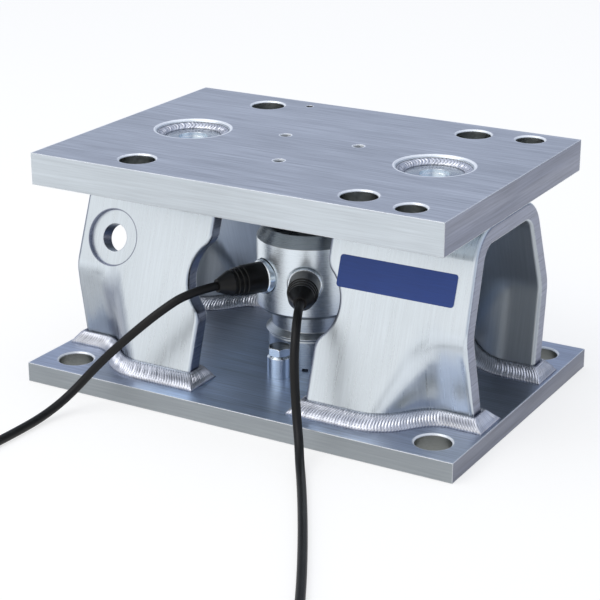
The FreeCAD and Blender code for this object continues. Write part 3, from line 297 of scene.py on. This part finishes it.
class GroundSteel:
    """Ground steel, on which zones of painted shade and painted reflection, and painted highlights
    along its edges, are laid one after the other.
    """

    def __init__(self, name, level, streaks, roughness=0.34, contrast=SIDE_CONTRAST):
        self.material, self.graph = new_material(name)
        graph = self.graph
        place = graph.place()
        self.at = graph.split(place)
        self.facing = graph.facing()
        self.at_end = graph.span(graph.absolute(self.facing["X"]), *SQUARE)
        self.upward = graph.span(self.facing["Z"], *SQUARE)
        side_lines, end_lines = (streaked(graph, place, lines) for lines in (streaks, END_LINES))
        self.lines = graph.blend(self.at_end, side_lines, end_lines)
        swing = graph.blend(self.at_end, contrast, END_CONTRAST)
        swing = graph.blend(self.upward, swing, TOP_CONTRAST)
        shade = graph.times(graph.span(self.lines, *LINE_RANGE, -1.0, 1.0), swing)
        clouds = graph.spread(graph.noise(place, scale=16.0), 1.0, GROUND_CLOUD)
        self.shade = graph.times(graph.plus(shade, 1.0), clouds)
        self.tone = grey(level, COOL)
        self.roughness = graph.spread(self.lines, roughness - SMOOTHER, roughness + GROUND_ROUGHER)
        # Painted highlight: a band along the edges, wider on upward faces
        self.edge, self.broken = graph.edges(graph.blend(self.upward, SIDE_EDGE, TOP_EDGE))

    def lay(self, zone, colour):
        self.tone = self.graph.mix(zone, self.tone, colour)

    def paint_highlight(self, zone):
        self.edge = self.graph.larger(self.edge, zone)

    def finish(self, across):
        graph = self.graph
        colour = graph.mix(1.0, self.tone, self.shade, blend="MULTIPLY")
        graph.finish(
            # The painted highlight turns the base colour white and less metallic along the edges
            Base_Color=graph.mix(self.edge, colour, grey(HIGHLIGHT_LEVEL, HIGHLIGHT_WHITE)),
            Metallic=graph.span(self.edge, 0.0, 1.0, 1.0, HIGHLIGHT_METAL),
            Roughness=self.roughness,
            Anisotropic=0.60,
            Tangent=graph.add("ShaderNodeTangent", direction_type="RADIAL", axis=across),
            Normal=graph.bump(self.lines, strength=0.10, distance=GRAIN_DEPTH, normal=self.broken),
        )
        return self.material


def plate_steel(name, node, level, shaded_face_level, painted_top_level, painted_top_tint=SLATE, shaded_middle_tint=None, rims=()):
    """Steel of a plate that is centred on the frame: painted shade on its sawn ends and in its drilled
    holes, painted reflection on its top, and painted highlights on its lips, chamfers and rims.
    """
    steel = GroundSteel(name, level, PLATE_LINES)
    graph, at, facing = steel.graph, steel.at, steel.facing
    *halves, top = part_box(node)[1]
    sides = [graph.absolute(at[axis]) for axis in "XY"]

    def below_top(depths):
        return graph.span(at["Z"], *(top - depth for depth in depths))

    # Painted shade: the ends, square to X, are darker than the sides
    steel.lay(steel.at_end, grey(shaded_face_level, LILAC))
    # Painted shade in the bores, the upright faces away from the outer sides
    near_sides = [
        graph.span(side, *(half - margin for margin in BORE_MARGIN))
        for side, half in zip(sides, halves)
    ]
    upright = graph.span(graph.absolute(facing["Z"]), *BORE_FACING_Z)
    bores = graph.times(graph.outside(graph.larger(*near_sides)), upright)
    steel.lay(bores, grey(BORE_SHADE_LEVEL, BORE_SHADE_GREY))
    # Painted highlights on the lips of the bores, on the chamfers and on the rims round the top's
    # recesses
    lips = graph.times(bores, below_top(LIP_DEPTH))
    steel.paint_highlight(graph.times(lips, graph.span(graph.larger(*sides), *LIP_REACH)))
    chamfers = graph.times(*(graph.span(facing["Z"], *tilts) for tilts in CHAMFER_FACING_Z))
    steel.paint_highlight(graph.times(chamfers, below_top(CHAMFER_DEPTH)))
    for x, y, radius in rims:
        reach = graph.length(graph.minus(sides[0], x), graph.minus(at["Y"], y))
        rim = graph.span(reach, *(radius + width for width in RIM_WIDTH))
        steel.paint_highlight(graph.times(steel.upward, rim))
    # Painted reflection: the upward faces get their own tone, with a bluer painted shade in the middle
    # of the base
    face = grey(painted_top_level, painted_top_tint)
    if shaded_middle_tint is not None:
        face = graph.mix(graph.span(sides[0], *SHELTERED_X), face, grey(painted_top_level, shaded_middle_tint))
    steel.lay(steel.upward, face)
    return steel.finish(across="X")


def sunk_wall(graph, at):
    """1 at the wall of a sunk round face, where a line of painted shade is drawn, and 0 elsewhere."""
    along = graph.minus(at["X"], SUNK_MIDDLE[0])
    out = graph.minus(graph.absolute(at["Y"]), SUNK_MIDDLE[1])
    rise = graph.minus(at["Z"], SUNK_MIDDLE[2])
    upwards = graph.minus(
        graph.times(rise, math.cos(SUNK_LEAN)), graph.times(out, math.sin(SUNK_LEAN))
    )
    off = graph.absolute(graph.minus(graph.length(along, upwards), SUNK_RADIUS))
    return graph.span(off, *SUNK_SHADE_LINE)


def pressed_steel(name, level, shaded_face_level, inside_shade_level, dish_reflection_levels):
    """Pressed sheet with painted shade on its cut edges, left rims, dish sides, inside and the wall of
    a sunk face in each left leg, and painted reflection in its dishes.
    """
    steel = GroundSteel(name, level, YOKE_LINES, YOKE_ROUGHNESS, YOKE_CONTRAST)
    graph, at, facing = steel.graph, steel.at, steel.facing
    shaded_face_tone = grey(shaded_face_level, LILAC)

    # Painted shade on the ends, on the cut edges of the legs and on the left-facing rims
    edgewise = graph.span(graph.absolute(facing["Y"]), *LEG_EDGE_FACING_Y)
    leg_edges = graph.times(edgewise, graph.span(at["Z"], *LEG_EDGE_Z))
    rising = graph.span(facing["Z"], *RISING_FACING_Z)
    rising_rims = graph.times(rising, graph.span(facing["X"], *RISING_RIM_FACING_X))
    left_rims = graph.larger(rising_rims, graph.span(facing["X"], *LEFT_RIM_FACING_X))
    shaded_faces = graph.larger(graph.larger(steel.at_end, leg_edges), left_rims)
    unshaded_faces = graph.outside(shaded_faces)
    steel.lay(shaded_faces, shaded_face_tone)

    # Painted reflection in the dishes, darker on the left yoke than the right, and painted shade on
    # their left-facing sides
    left, right = (grey(dish_level, DISH_REFLECTION_GREY) for dish_level in dish_reflection_levels)
    dish_reflection_tone = graph.mix(graph.span(at["X"], *BETWEEN_YOKES_X), left, right)
    dishes = graph.span(facing["Z"], *DISH_FACING_Z)
    steel.lay(graph.times(dishes, unshaded_faces), dish_reflection_tone)
    dish_sides = graph.span(facing["X"], *DISH_SIDE_FACING_X)
    steel.lay(graph.times(dish_sides, unshaded_faces), grey(DISH_SIDE_SHADE_LEVEL, SLATE))

    # Painted shade on the inner faces of the legs and under the roof, which are also rougher
    inner_legs = graph.span(graph.times(facing["Y"], at["Y"]), *INNER_LEG)
    inside = graph.larger(inner_legs, graph.span(facing["Z"], *INNER_ROOF_FACING_Z))
    steel.lay(inside, grey(inside_shade_level, COOL))
    steel.roughness = graph.blend(inside, steel.roughness, ROLLED_ROUGHNESS)

    # A line of painted shade along the wall of the sunk face, with no painted edge highlight there
    wall = sunk_wall(graph, at)
    steel.lay(wall, shaded_face_tone)
    steel.edge = graph.times(steel.edge, graph.minus(1.0, wall))
    return steel.finish(across="Z")


def turned_steel(name, level, roughness=0.28, painted_top_level=None, pit_x=None):
    """Steel turned on a lathe, where named with painted shade on its top and foot and a pit left
    bright, and with painted highlights on its edges.
    """
    material, graph = new_material(name)
    place = graph.place()
    lines = graph.noise(graph.stretched(place, LATHE_LINES), detail=4.0, roughness=0.7)
    low, high = (grey(level * shade, COOL) for shade in LATHE_SHADES)
    colour = graph.mix(graph.spread(lines), low, high)
    clouds = graph.span(graph.noise(place, scale=30.0), *CLOUD_RANGE, 0.0, LATHE_CLOUD_SHARE)
    colour = graph.mix(clouds, colour, grey(level * LATHE_CLOUD, COOL))
    # Painted shade on faces turned up or down, apart from the stud's pit
    if painted_top_level is not None:
        tilted = graph.span(graph.absolute(graph.facing()["Z"]), *TURNED_TOP_FACING_Z)
        if pit_x is not None:
            at = graph.split(place)
            reach = graph.length(graph.minus(graph.absolute(at["X"]), pit_x), at["Y"])
            tilted = graph.times(tilted, graph.span(reach, PIT_RADIUS - PIT_RIM, PIT_RADIUS))
        colour = graph.mix(tilted, colour, grey(painted_top_level, COOL))
    # Painted highlight: lighter base colour along the edges
    edge, broken = graph.edges(TURNED_EDGE)
    graph.finish(
        Base_Color=graph.mix(edge, colour, grey(TURNED_HIGHLIGHT_LEVEL)),
        Metallic=1.0,
        Roughness=graph.spread(lines, roughness - SMOOTHER, roughness + ROUGHER),
        Normal=graph.bump(lines, strength=0.12, distance=LATHE_DEPTH, normal=broken),
    )
    return material


def weld_metal(name, level=0.70):
    """Bright, slightly blued weld bead, with painted shade between its ripples."""
    material, graph = new_material(name)
    place = graph.place()
    grains = graph.noise(place, scale=1400.0)
    tints = graph.noise(place, scale=90.0, detail=2.0)
    crest = graph.add("ShaderNodeAttribute", output="Fac", attribute_name="crest")
    first, second = (grey(level * shade, WELD_GREY) for shade in WELD_SHADES)
    colour = graph.mix(graph.spread(tints), first, second)
    # Painted shade in the valleys between the crests
    painted_valley = grey(level * VALLEY_SHADE, WELD_GREY)
    graph.finish(
        Base_Color=graph.mix(graph.span(crest, *CREST_RANGE), painted_valley, colour),
        Metallic=1.0,
        Roughness=graph.spread(grains, 0.28, 0.42),
        Normal=graph.bump(grains, strength=0.20, distance=GRAIN_DEPTH),
    )
    return material


def moulded_plastic(name, level, roughness=0.40):
    material, graph = new_material(name)
    place = graph.place()
    grain = graph.noise(place, scale=2200.0, detail=2.0)
    clouds = graph.noise(place, scale=70.0)
    low, high = grey(level, WARM_BLACK), grey(level * PLASTIC_CLOUD, WARM_BLACK)
    graph.finish(
        Base_Color=graph.mix(graph.spread(clouds), low, high),
        Specular_IOR_Level=0.3,
        Roughness=graph.spread(grain, roughness - SMOOTHER, roughness + ROUGHER),
        Normal=graph.bump(grain, strength=0.12, distance=GRAIN_DEPTH),
    )
    return material


def soft_rubber(name):
    material, graph = new_material(name)
    grain = graph.noise(graph.place(), scale=1500.0)
    graph.finish(
        Base_Color=graph.mix(graph.spread(grain), *RUBBER_GREYS),
        Roughness=graph.spread(grain, 0.6, 0.75),
        Normal=graph.bump(grain, strength=0.2, distance=GRAIN_DEPTH),
    )
    return material


def blue_lacquer(name):
    """Lacquered aluminium of the bare label."""
    material, graph = new_material(name)
    place = graph.place()
    grain = graph.noise(graph.stretched(place, LACQUER_LINES), detail=4.0)
    fade = graph.span(graph.noise(place, scale=40.0), *CLOUD_RANGE, 0.0, LABEL_FADING)
    colour = graph.mix(graph.spread(grain), *LABEL_BLUES)
    graph.finish(
        Base_Color=graph.mix(fade, colour, LABEL_FADED),
        Roughness=graph.spread(grain, 0.38, 0.50),
        Normal=graph.bump(grain, strength=0.06, distance=GRAIN_DEPTH),
    )
    return material


def board_laminate(name):
    material, graph = new_material(name)
    weave = graph.noise(graph.stretched(graph.place(), WEAVE_LINES))
    colour = graph.mix(graph.spread(weave), *BOARD_GREENS)
    graph.finish(Base_Color=colour, Roughness=graph.spread(weave, 0.35, 0.5))
    return material


top_steel = plate_steel(
    "top_steel", "top_plate", level=0.66, shaded_face_level=0.25, painted_top_level=0.59,
    painted_top_tint=TOP_GREY, rims=TOP_RIMS,
)
base_steel = plate_steel(
    "base_steel", "base_plate", level=0.36, shaded_face_level=0.20, painted_top_level=0.50,
    shaded_middle_tint=SHELTERED_BLUE,
)
yoke_steel = pressed_steel(
    "yoke_steel", level=0.79, shaded_face_level=0.28, inside_shade_level=0.46, dish_reflection_levels=(0.45, 0.68)
)
weld_steel = weld_metal("weld_steel")
cell_steel = turned_steel("cell_steel", level=0.82, painted_top_level=0.24)
# Darker copy of the turned steel: painted shade on the column and the lower receiver under the housing
shaded_neck_steel = turned_steel("shaded_neck_steel", level=0.56)
fastener_steel = turned_steel("fastener_steel", level=0.52)
ring_steel = turned_steel("ring_steel", level=0.86, roughness=0.20)
bolt_steel = turned_steel("bolt_steel", level=0.86, roughness=0.18, painted_top_level=0.22)
stud_steel = turned_steel("stud_steel", level=0.86, roughness=0.16, painted_top_level=0.50, pit_x=RECESS_X)
plug_plastic = moulded_plastic("plug_plastic", level=0.005, roughness=0.34)
cable_sheath = moulded_plastic("cable_sheath", level=0.004, roughness=0.44)
seal_rubber = soft_rubber("seal_rubber")
label_blue = blue_lacquer("label_blue")
board_green = board_laminate("board_laminate")
tie_plastic = moulded_plastic("tie_plastic", level=0.02)

# Nodes that wear each material, apart from those that a visual piece stands for
DRESS = (
    (base_steel, ("base_plate",)),
    (top_steel, ("top_plate",)),
    (yoke_steel, ("left_yoke", "right_yoke")),
    (cell_steel, ("load_cell_housing", "upper_receiver")),
    (ring_steel, (
        "left_socket", "front_socket", "left_plug_ring", "front_plug_ring", "left_far_ring",
        "front_far_ring", "stop_sleeve", "receiver_screws",
    )),
    (shaded_neck_steel, ("load_cell_column", "lower_receiver")),
    (fastener_steel, (
        "left_check_washer", "right_check_washer", "left_check_nut", "right_check_nut",
    )),
    (bolt_steel, ("stop_bolt",)),
    (stud_steel, ("left_check_stud", "right_check_stud")),
    (plug_plastic, ("left_plug", "front_plug", "left_far_plug", "front_far_plug")),
    (seal_rubber, ("lower_seal", "upper_seal")),
    (label_blue, ("label_plate",)),
    (board_green, ("load_cell_board",)),
    (tie_plastic, ("left_coil_ties", "front_coil_ties")),
)

for material, names in DRESS:
    for name in names:
        mesh = nodes[name].data
        mesh.materials.clear()
        mesh.materials.append(material)


# Cables: from their plugs down to the floor, then put away in a coil

CABLE_DIAMETER = 0.0055
LAID_LEVEL = 0.00275
LEFT_ROUTE = (
    (-0.0312, -0.0600, 0.0735),
    (-0.0404, -0.0776, 0.0730),
    (-0.0525, -0.0910, 0.0630),
    (-0.0675, -0.1020, 0.0480),
    (-0.0845, -0.1110, 0.0300),
    (-0.0975, -0.1250, 0.0110),
    (-0.1020, -0.1430, 0.0040),
    (-0.1029, -0.1660, LAID_LEVEL),
    (-0.1054, -0.2086, LAID_LEVEL),
    (-0.1099, -0.2510, LAID_LEVEL),
)
FRONT_ROUTE = (
    (0.0286, -0.0613, 0.0735),
    (0.0334, -0.0717, 0.0735),
    (0.0385, -0.0825, 0.0698),
    (0.0428, -0.0917, 0.0623),
    (0.0459, -0.0982, 0.0520),
    (0.0484, -0.1016, 0.0373),
    (0.0531, -0.1075, 0.0218),
    (0.0598, -0.1166, 0.0110),
    (0.0665, -0.1274, 0.0052),
    (0.0776, -0.1447, LAID_LEVEL),
    (0.0972, -0.1773, LAID_LEVEL),
    (0.1182, -0.2137, LAID_LEVEL),
    (0.1399, -0.2531, LAID_LEVEL),
    (0.1628, -0.2980, LAID_LEVEL),
    (0.1833, -0.3439, LAID_LEVEL),
)
COIL_OUTER_TURN = 0.04385
COIL_INNER_TURN = 0.02215
COIL_LAYERS = (0.00375, 0.00995)
COIL_POINTS_PER_TURN = 18
COIL_CLIMBS_PER_TURN = 3
TAIL_LENGTH = 0.040
TAIL_LEVEL = 0.0109
TAIL_POINTS = (0.4, 1.0)


def compass(angle):
    return Vector((math.cos(angle), math.sin(angle), 0.0))


def heading(angle):
    """Direction of a clockwise turn at a compass angle."""
    return Vector((math.sin(angle), -math.cos(angle), 0.0))


def coil_points(route, start_angle, tail_angle, whole_turns):
    """Turns of a coil: inwards on the floor layer, then outwards on the layer above it."""
    start = math.radians(start_angle)
    stop = math.radians(tail_angle) - math.tau * whole_turns
    middle = Vector(route[-1]) - compass(start) * COIL_OUTER_TURN
    steps = round((start - stop) / math.tau * COIL_POINTS_PER_TURN)
    low, high = COIL_LAYERS
    points = []
    for step in range(1, steps + 1):
        share = step / steps
        angle = start + (stop - start) * share
        inwards = 1 - abs(2 * share - 1)
        radius = COIL_OUTER_TURN + (COIL_INNER_TURN - COIL_OUTER_TURN) * inwards
        past_half = (share - 0.5) * steps / COIL_POINTS_PER_TURN
        climb = min(max(past_half * COIL_CLIMBS_PER_TURN + 0.5, 0.0), 1.0)
        point = middle + compass(angle) * radius
        point.z = low + (high - low) * climb
        points.append(point)
    return points


def cable(prefix, route, start_angle, tail_angle, whole_turns):
    points = [Vector(point) for point in route]
    points += coil_points(route, start_angle, tail_angle, whole_turns)
    leave = points[-1].copy()
    leave.z = TAIL_LEVEL
    ahead = heading(math.radians(tail_angle))
    points += [leave + ahead * TAIL_LENGTH * share for share in TAIL_POINTS]

    curve = bpy.data.curves.new(f"{prefix}_cord", "CURVE")
    curve.dimensions = "3D"
    curve.bevel_depth = CABLE_DIAMETER / 2
    curve.bevel_resolution = 5
    curve.resolution_u = 8
    curve.use_fill_caps = True
    spline = curve.splines.new("NURBS")
    spline.points.add(len(points) - 1)
    for control, point in zip(spline.points, points):
        control.co = (*point, 1.0)
    spline.order_u = 3
    spline.use_endpoint_u = True
    curve.materials.append(cable_sheath)

    cord = bpy.data.objects.new(f"{prefix}_cord", curve)
    scene.collection.objects.link(cord)
    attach(cord, "root")
    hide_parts(f"{prefix}_cable", f"{prefix}_coil", f"{prefix}_tail")


cable("left", LEFT_ROUTE, start_angle=-6.0, tail_angle=170.0, whole_turns=8)
cable("front", FRONT_ROUTE, start_angle=24.0, tail_angle=-65.0, whole_turns=7)


# Welds: beads of overlapping ripples, laid on the edges of the plain CAD welds

RIPPLE_PITCH = 0.0020
COLUMNS_PER_RIPPLE = 8
BEAD_ROWS = 9
BEAD_SLOPE = (0.45, 0.97)
CORNER_ANGLE = math.radians(40)
MERGE_DISTANCE = 1e-6
LEVEL_SLACK = 1e-4

# Shape of a ripple: lead of its middle, place of its crest and fullness of its ends
RIPPLE_LEAD = 1.2
RIPPLE_CREST = 0.7
RIPPLE_FULLNESS = 0.25

# Sizes of the ripples about the mean, and how many are drawn for a side
FILLET_RIPPLES = (0.7, 1.25)
FILLET_SIZES = 97
PLUG_RIPPLES = (0.3, 1.4)


def closed_lines(edges):
    """Closed lines of points along these edges."""
    left = sorted(edges, key=lambda edge: edge.index)
    lines = []
    while left:
        first, here = left.pop(0).verts
        line = [first, here]
        while here is not first:
            edge = next(edge for edge in left if here in edge.verts)
            left.remove(edge)
            here = edge.other_vert(here)
            line.append(here)
        lines.append([vert.co.copy() for vert in line[:-1]])
    return lines


def cut_at_corners(line):
    """Sides of a closed line between its sharp corners."""
    count = len(line)
    corners = []
    for number, point in enumerate(line):
        before = point - line[number - 1]
        after = line[(number + 1) % count] - point
        if before.angle(after) > CORNER_ANGLE:
            corners.append(number)
    sides = []
    for start, stop in zip(corners, corners[1:] + [corners[0] + count]):
        sides.append([line[number % count] for number in range(start, stop + 1)])
    return sides


def spaced(line, count):
    """Points at even distances along a line."""
    reach = [0.0]
    for start, stop in zip(line, line[1:]):
        reach.append(reach[-1] + (stop - start).length)
    points = []
    leg = 0
    for number in range(count):
        along = reach[-1] * number / (count - 1)
        while leg < len(line) - 2 and reach[leg + 1] < along:
            leg += 1
        share = (along - reach[leg]) / (reach[leg + 1] - reach[leg])
        points.append(line[leg].lerp(line[leg + 1], min(share, 1.0)))
    return points


def matching(side, others):
    """The side among others that runs beside this one, in the same direction."""
    middle = (side[0] + side[-1]) / 2
    best = min(others, key=lambda other: ((other[0] + other[-1]) / 2 - middle).length)
    if (best[0] - side[0]).length > (best[-1] - side[0]).length:
        best = best[::-1]
    return best


def fillet_sides(node):
    """Toe and upper edge of each side of each bead of a CAD weld."""
    shape = bmesh.new()
    shape.from_mesh(node.data)
    bmesh.ops.remove_doubles(shape, verts=shape.verts, dist=MERGE_DISTANCE)
    least, most = BEAD_SLOPE
    slopes = {face for face in shape.faces if least < face.normal.z < most}
    rims = [edge for edge in shape.edges if sum(face in slopes for face in edge.link_faces) == 1]
    low = min(vert.co.z for edge in rims for vert in edge.verts)
    high = max(vert.co.z for edge in rims for vert in edge.verts)
    toes = [edge for edge in rims if max(vert.co.z for vert in edge.verts) < low + LEVEL_SLACK]
    uppers = [edge for edge in rims if min(vert.co.z for vert in edge.verts) > high - LEVEL_SLACK]
    upper_sides = [side for line in closed_lines(uppers) for side in cut_at_corners(line)]
    beads = [[(side, matching(side, upper_sides)) for side in cut_at_corners(line)]
             for line in closed_lines(toes)]
    shape.free()
    return beads


def arch(across):
    """0 at both edges of a bead and 1 in its middle."""
    return 4 * across * (1 - across)


def ripple_height(along, across, sizes):
    """Height of a bead's ripples, crescents that lead at the middle of the bead, and their crests."""
    crown = arch(across)
    turn = along - RIPPLE_LEAD * (1 - crown)
    size = sizes[math.floor(turn) % len(sizes)]
    share = turn % 1.0
    if share < RIPPLE_CREST:
        crest = math.sqrt(share / RIPPLE_CREST)
    else:
        crest = (1 - share) / (1 - RIPPLE_CREST)
    return size * crest * crown ** RIPPLE_FULLNESS, crest


def bead_column(toe, upper, out, along, fade, crown, ripple, sizes):
    """Points across a bead from its toe to its upper edge, with their crests, and its hidden corner."""
    points = []
    for row in range(BEAD_ROWS):
        across = row / (BEAD_ROWS - 1)
        height, crest = ripple_height(along, across, sizes)
        rise = crown * arch(across) + ripple * fade * height
        points.append((toe.lerp(upper, across) + out * rise, crest))
    points.append((Vector((upper.x, upper.y, toe.z)), 0.0))
    return points


def add_strip(shape, columns):
    """Closed skin over these columns of points and crests."""
    layer = shape.verts.layers.float.get("crest") or shape.verts.layers.float.new("crest")
    rows = []
    for column in columns:
        row = []
        for point, crest in column:
            vert = shape.verts.new(point)
            vert[layer] = crest
            row.append(vert)
        rows.append(row)
    count = len(rows[0])
    for first, second in zip(rows, rows[1:]):
        for number in range(count):
            after = (number + 1) % count
            shape.faces.new((first[number], first[after], second[after], second[number]))


def slope_out(toe, upper, ahead):
    """Direction out of a bead's slope, upwards."""
    out = ahead.cross(upper - toe).normalized()
    return out if out.z > 0 else -out


def bead_object(name, shape, node):
    bmesh.ops.remove_doubles(shape, verts=shape.verts, dist=MERGE_DISTANCE)
    bmesh.ops.recalc_face_normals(shape, faces=shape.faces)
    mesh = bpy.data.meshes.new(name)
    shape.to_mesh(mesh)
    shape.free()
    mesh.shade_smooth()
    mesh.materials.append(weld_steel)
    bead = bpy.data.objects.new(name, mesh)
    scene.collection.objects.link(bead)
    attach(bead, "root")
    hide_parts(node)


def fillet_weld(node, seed, crown=0.0002, ripple=0.0008):
    """Beads along the slopes of a CAD fillet weld, joined at its corners."""
    chance = random.Random(seed)
    shape = bmesh.new()
    for bead in fillet_sides(nodes[node]):
        strips = []
        for toe, upper in bead:
            length = sum((stop - start).length for start, stop in zip(toe, toe[1:]))
            turns = max(round(length / RIPPLE_PITCH), 2)
            count = turns * COLUMNS_PER_RIPPLE + 1
            toe, upper = spaced(toe, count), spaced(upper, count)
            outs = []
            for number in range(count):
                ahead = toe[min(number + 1, count - 1)] - toe[max(number - 1, 0)]
                outs.append(slope_out(toe[number], upper[number], ahead))
            strips.append((toe, upper, outs))
        for (_, _, outs), (_, _, next_outs) in zip(strips, strips[1:] + strips[:1]):
            shared = (outs[-1] + next_outs[0]).normalized()
            outs[-1] = shared
            next_outs[0] = shared
        for toe, upper, outs in strips:
            sizes = [chance.uniform(*FILLET_RIPPLES) for _ in range(FILLET_SIZES)]
            columns = []
            last = len(toe) - 1
            for number in range(last + 1):
                fade = min(number, last - number, COLUMNS_PER_RIPPLE) / COLUMNS_PER_RIPPLE
                along = number / COLUMNS_PER_RIPPLE
                columns.append(bead_column(
                    toe[number], upper[number], outs[number], along, fade, crown, ripple, sizes
                ))
            add_strip(shape, columns)
    bead_object(f"{node}_bead", shape, node)


def plug_weld(node, stud, seed, turns=58, crown=0.0003, ripple=0.0007):
    """Ring bead between the head of a stud and the wall of its recess."""
    chance = random.Random(seed)
    low, high = (Vector(corner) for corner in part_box(node))
    stud_low, stud_high = (Vector(corner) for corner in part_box(stud))
    middle = (low + high) / 2
    wall = (high.x - low.x) / 2
    head = (stud_high.x - stud_low.x) / 2
    count = turns * COLUMNS_PER_RIPPLE
    sizes = [chance.uniform(*PLUG_RIPPLES) for _ in range(turns)]
    columns = []
    for number in range(count + 1):
        spoke = compass(math.tau * (number % count) / count)
        toe = Vector((middle.x, middle.y, stud_high.z)) + spoke * head
        upper = Vector((middle.x, middle.y, high.z)) + spoke * wall
        out = slope_out(toe, upper, Vector((-spoke.y, spoke.x, 0.0)))
        along = (number % count) / COLUMNS_PER_RIPPLE
        columns.append(bead_column(toe, upper, out, along, 1.0, crown, ripple, sizes))
    shape = bmesh.new()
    add_strip(shape, columns)
    bead_object(f"{node}_bead", shape, node)


fillet_weld("left_yoke_weld", seed=3)
fillet_weld("right_yoke_weld", seed=4)
plug_weld("left_check_weld", "left_check_stud", seed=5)
plug_weld("right_check_weld", "right_check_stud", seed=6)


# Studio, with the camera where the photograph was taken

CAMERA_TARGET = Vector((0.0097, -0.0286, 0.0618))
CAMERA_AZIMUTH = math.radians(30.0)
CAMERA_ELEVATION = math.radians(20.27)
CAMERA_DISTANCE = 1.1059
CAMERA_LENS = 106.83
CAMERA_SENSOR = 36.0
CAMERA_REACH = 50.0

# Room: colours from its back to its front, lamps and floor
FRONT = Vector((-0.20, -0.94, 0.24)).normalized()
ROOM_ENDS = ((0.02, (0.24, 0.28, 0.38, 1.0)), (0.93, (1.0, 1.0, 1.0, 1.0)))
ROOM_BETWEEN = (
    (0.20, (0.52, 0.58, 0.72, 1.0)),
    (0.50, (0.60, 0.65, 0.76, 1.0)),
    (0.76, (0.40, 0.44, 0.54, 1.0)),
)
LAMP_TARGET = Vector((0, 0, 0.07))
GROUND_LEVEL = -0.0002
GROUND_PAINT = grey(0.36, (1.01, 1.0, 0.97))
GROUND_GLOW = 0.69
GROUND_RADIUS = 9.0
GROUND_SIDES = 96


def look_from(azimuth, elevation, distance, target):
    """Place at a distance from the target, and the turn that looks at it from there."""
    away = Vector((
        math.sin(azimuth) * math.cos(elevation),
        -math.cos(azimuth) * math.cos(elevation),
        math.sin(elevation),
    ))
    return target + away * distance, away.to_track_quat("Z", "Y")


def camera():
    data = bpy.data.cameras.new("camera")
    data.lens = CAMERA_LENS
    data.sensor_width = CAMERA_SENSOR
    data.clip_end = CAMERA_REACH
    eye = bpy.data.objects.new("camera", data)
    eye.location, turn = look_from(
        CAMERA_AZIMUTH, CAMERA_ELEVATION, CAMERA_DISTANCE, CAMERA_TARGET
    )
    eye.rotation_euler = turn.to_euler()
    scene.collection.objects.link(eye)
    scene.camera = eye


def soft_box(name, azimuth, elevation, distance, size, power):
    data = bpy.data.lights.new(name, "AREA")
    data.shape = "RECTANGLE"
    data.size, data.size_y = size
    data.energy = power
    lamp = bpy.data.objects.new(name, data)
    lamp.location, turn = look_from(
        math.radians(azimuth), math.radians(elevation), distance, LAMP_TARGET
    )
    lamp.rotation_euler = turn.to_euler()
    scene.collection.objects.link(lamp)


def floor():
    """Pale floor, brighter where it is seen than where it lights the module."""
    mesh = bpy.data.meshes.new("floor")
    shape = bmesh.new()
    bmesh.ops.create_circle(shape, cap_ends=True, segments=GROUND_SIDES, radius=GROUND_RADIUS)
    shape.to_mesh(mesh)
    shape.free()
    material, graph = new_material("floor")
    sees = graph.add("ShaderNodeLightPath").node.outputs
    seen = graph.plus(sees["Is Camera Ray"], sees["Is Glossy Ray"], clamp=True)
    seen = graph.plus(seen, sees["Is Transmission Ray"], clamp=True)
    paint = graph.add("ShaderNodeBsdfDiffuse", {"Color": GROUND_PAINT})
    strength = graph.times(seen, GROUND_GLOW)
    glow = graph.add("ShaderNodeEmission", {"Color": grey(1.0), "Strength": strength})
    both = graph.add("ShaderNodeAddShader", {0: paint, 1: glow})
    graph.add("ShaderNodeOutputMaterial", {"Surface": both})
    mesh.materials.append(material)
    ground = bpy.data.objects.new("floor", mesh)
    ground.location.z = GROUND_LEVEL
    scene.collection.objects.link(ground)


def world():
    """Pale room: white in front of the module, slate behind it."""
    room = bpy.data.worlds.new("room")
    room.use_nodes = True
    scene.world = room
    graph = Graph(room.node_tree)
    along = graph.add("ShaderNodeTexCoord", output="Generated")
    ahead = graph.span(graph.dot(along, FRONT), -1.0, 1.0)
    ramp = graph.add("ShaderNodeValToRGB", {"Fac": ahead})
    stops = ramp.node.color_ramp.elements
    for stop, (position, colour) in zip(stops, ROOM_ENDS):
        stop.position, stop.color = position, colour
    for position, colour in ROOM_BETWEEN:
        stops.new(position).color = colour
    light = graph.add("ShaderNodeBackground", {"Color": ramp, "Strength": 1.0})
    graph.add("ShaderNodeOutputWorld", {"Surface": light})


camera()
floor()
world()
soft_box("key", azimuth=-40.0, elevation=58.0, distance=1.8, size=(1.4, 1.2), power=10.0)
soft_box("top", azimuth=120.0, elevation=80.0, distance=1.8, size=(1.2, 1.2), power=3.0)
scene.view_settings.view_transform = "Standard"


def smooth_rounds(angle=30.0):
    """Smooth shading on the round faces of the solids, with their edges left sharp."""
    for node in nodes.values():
        node.data.shade_smooth()
        node.data.set_sharp_from_angle(angle=math.radians(angle))


smooth_rounds()
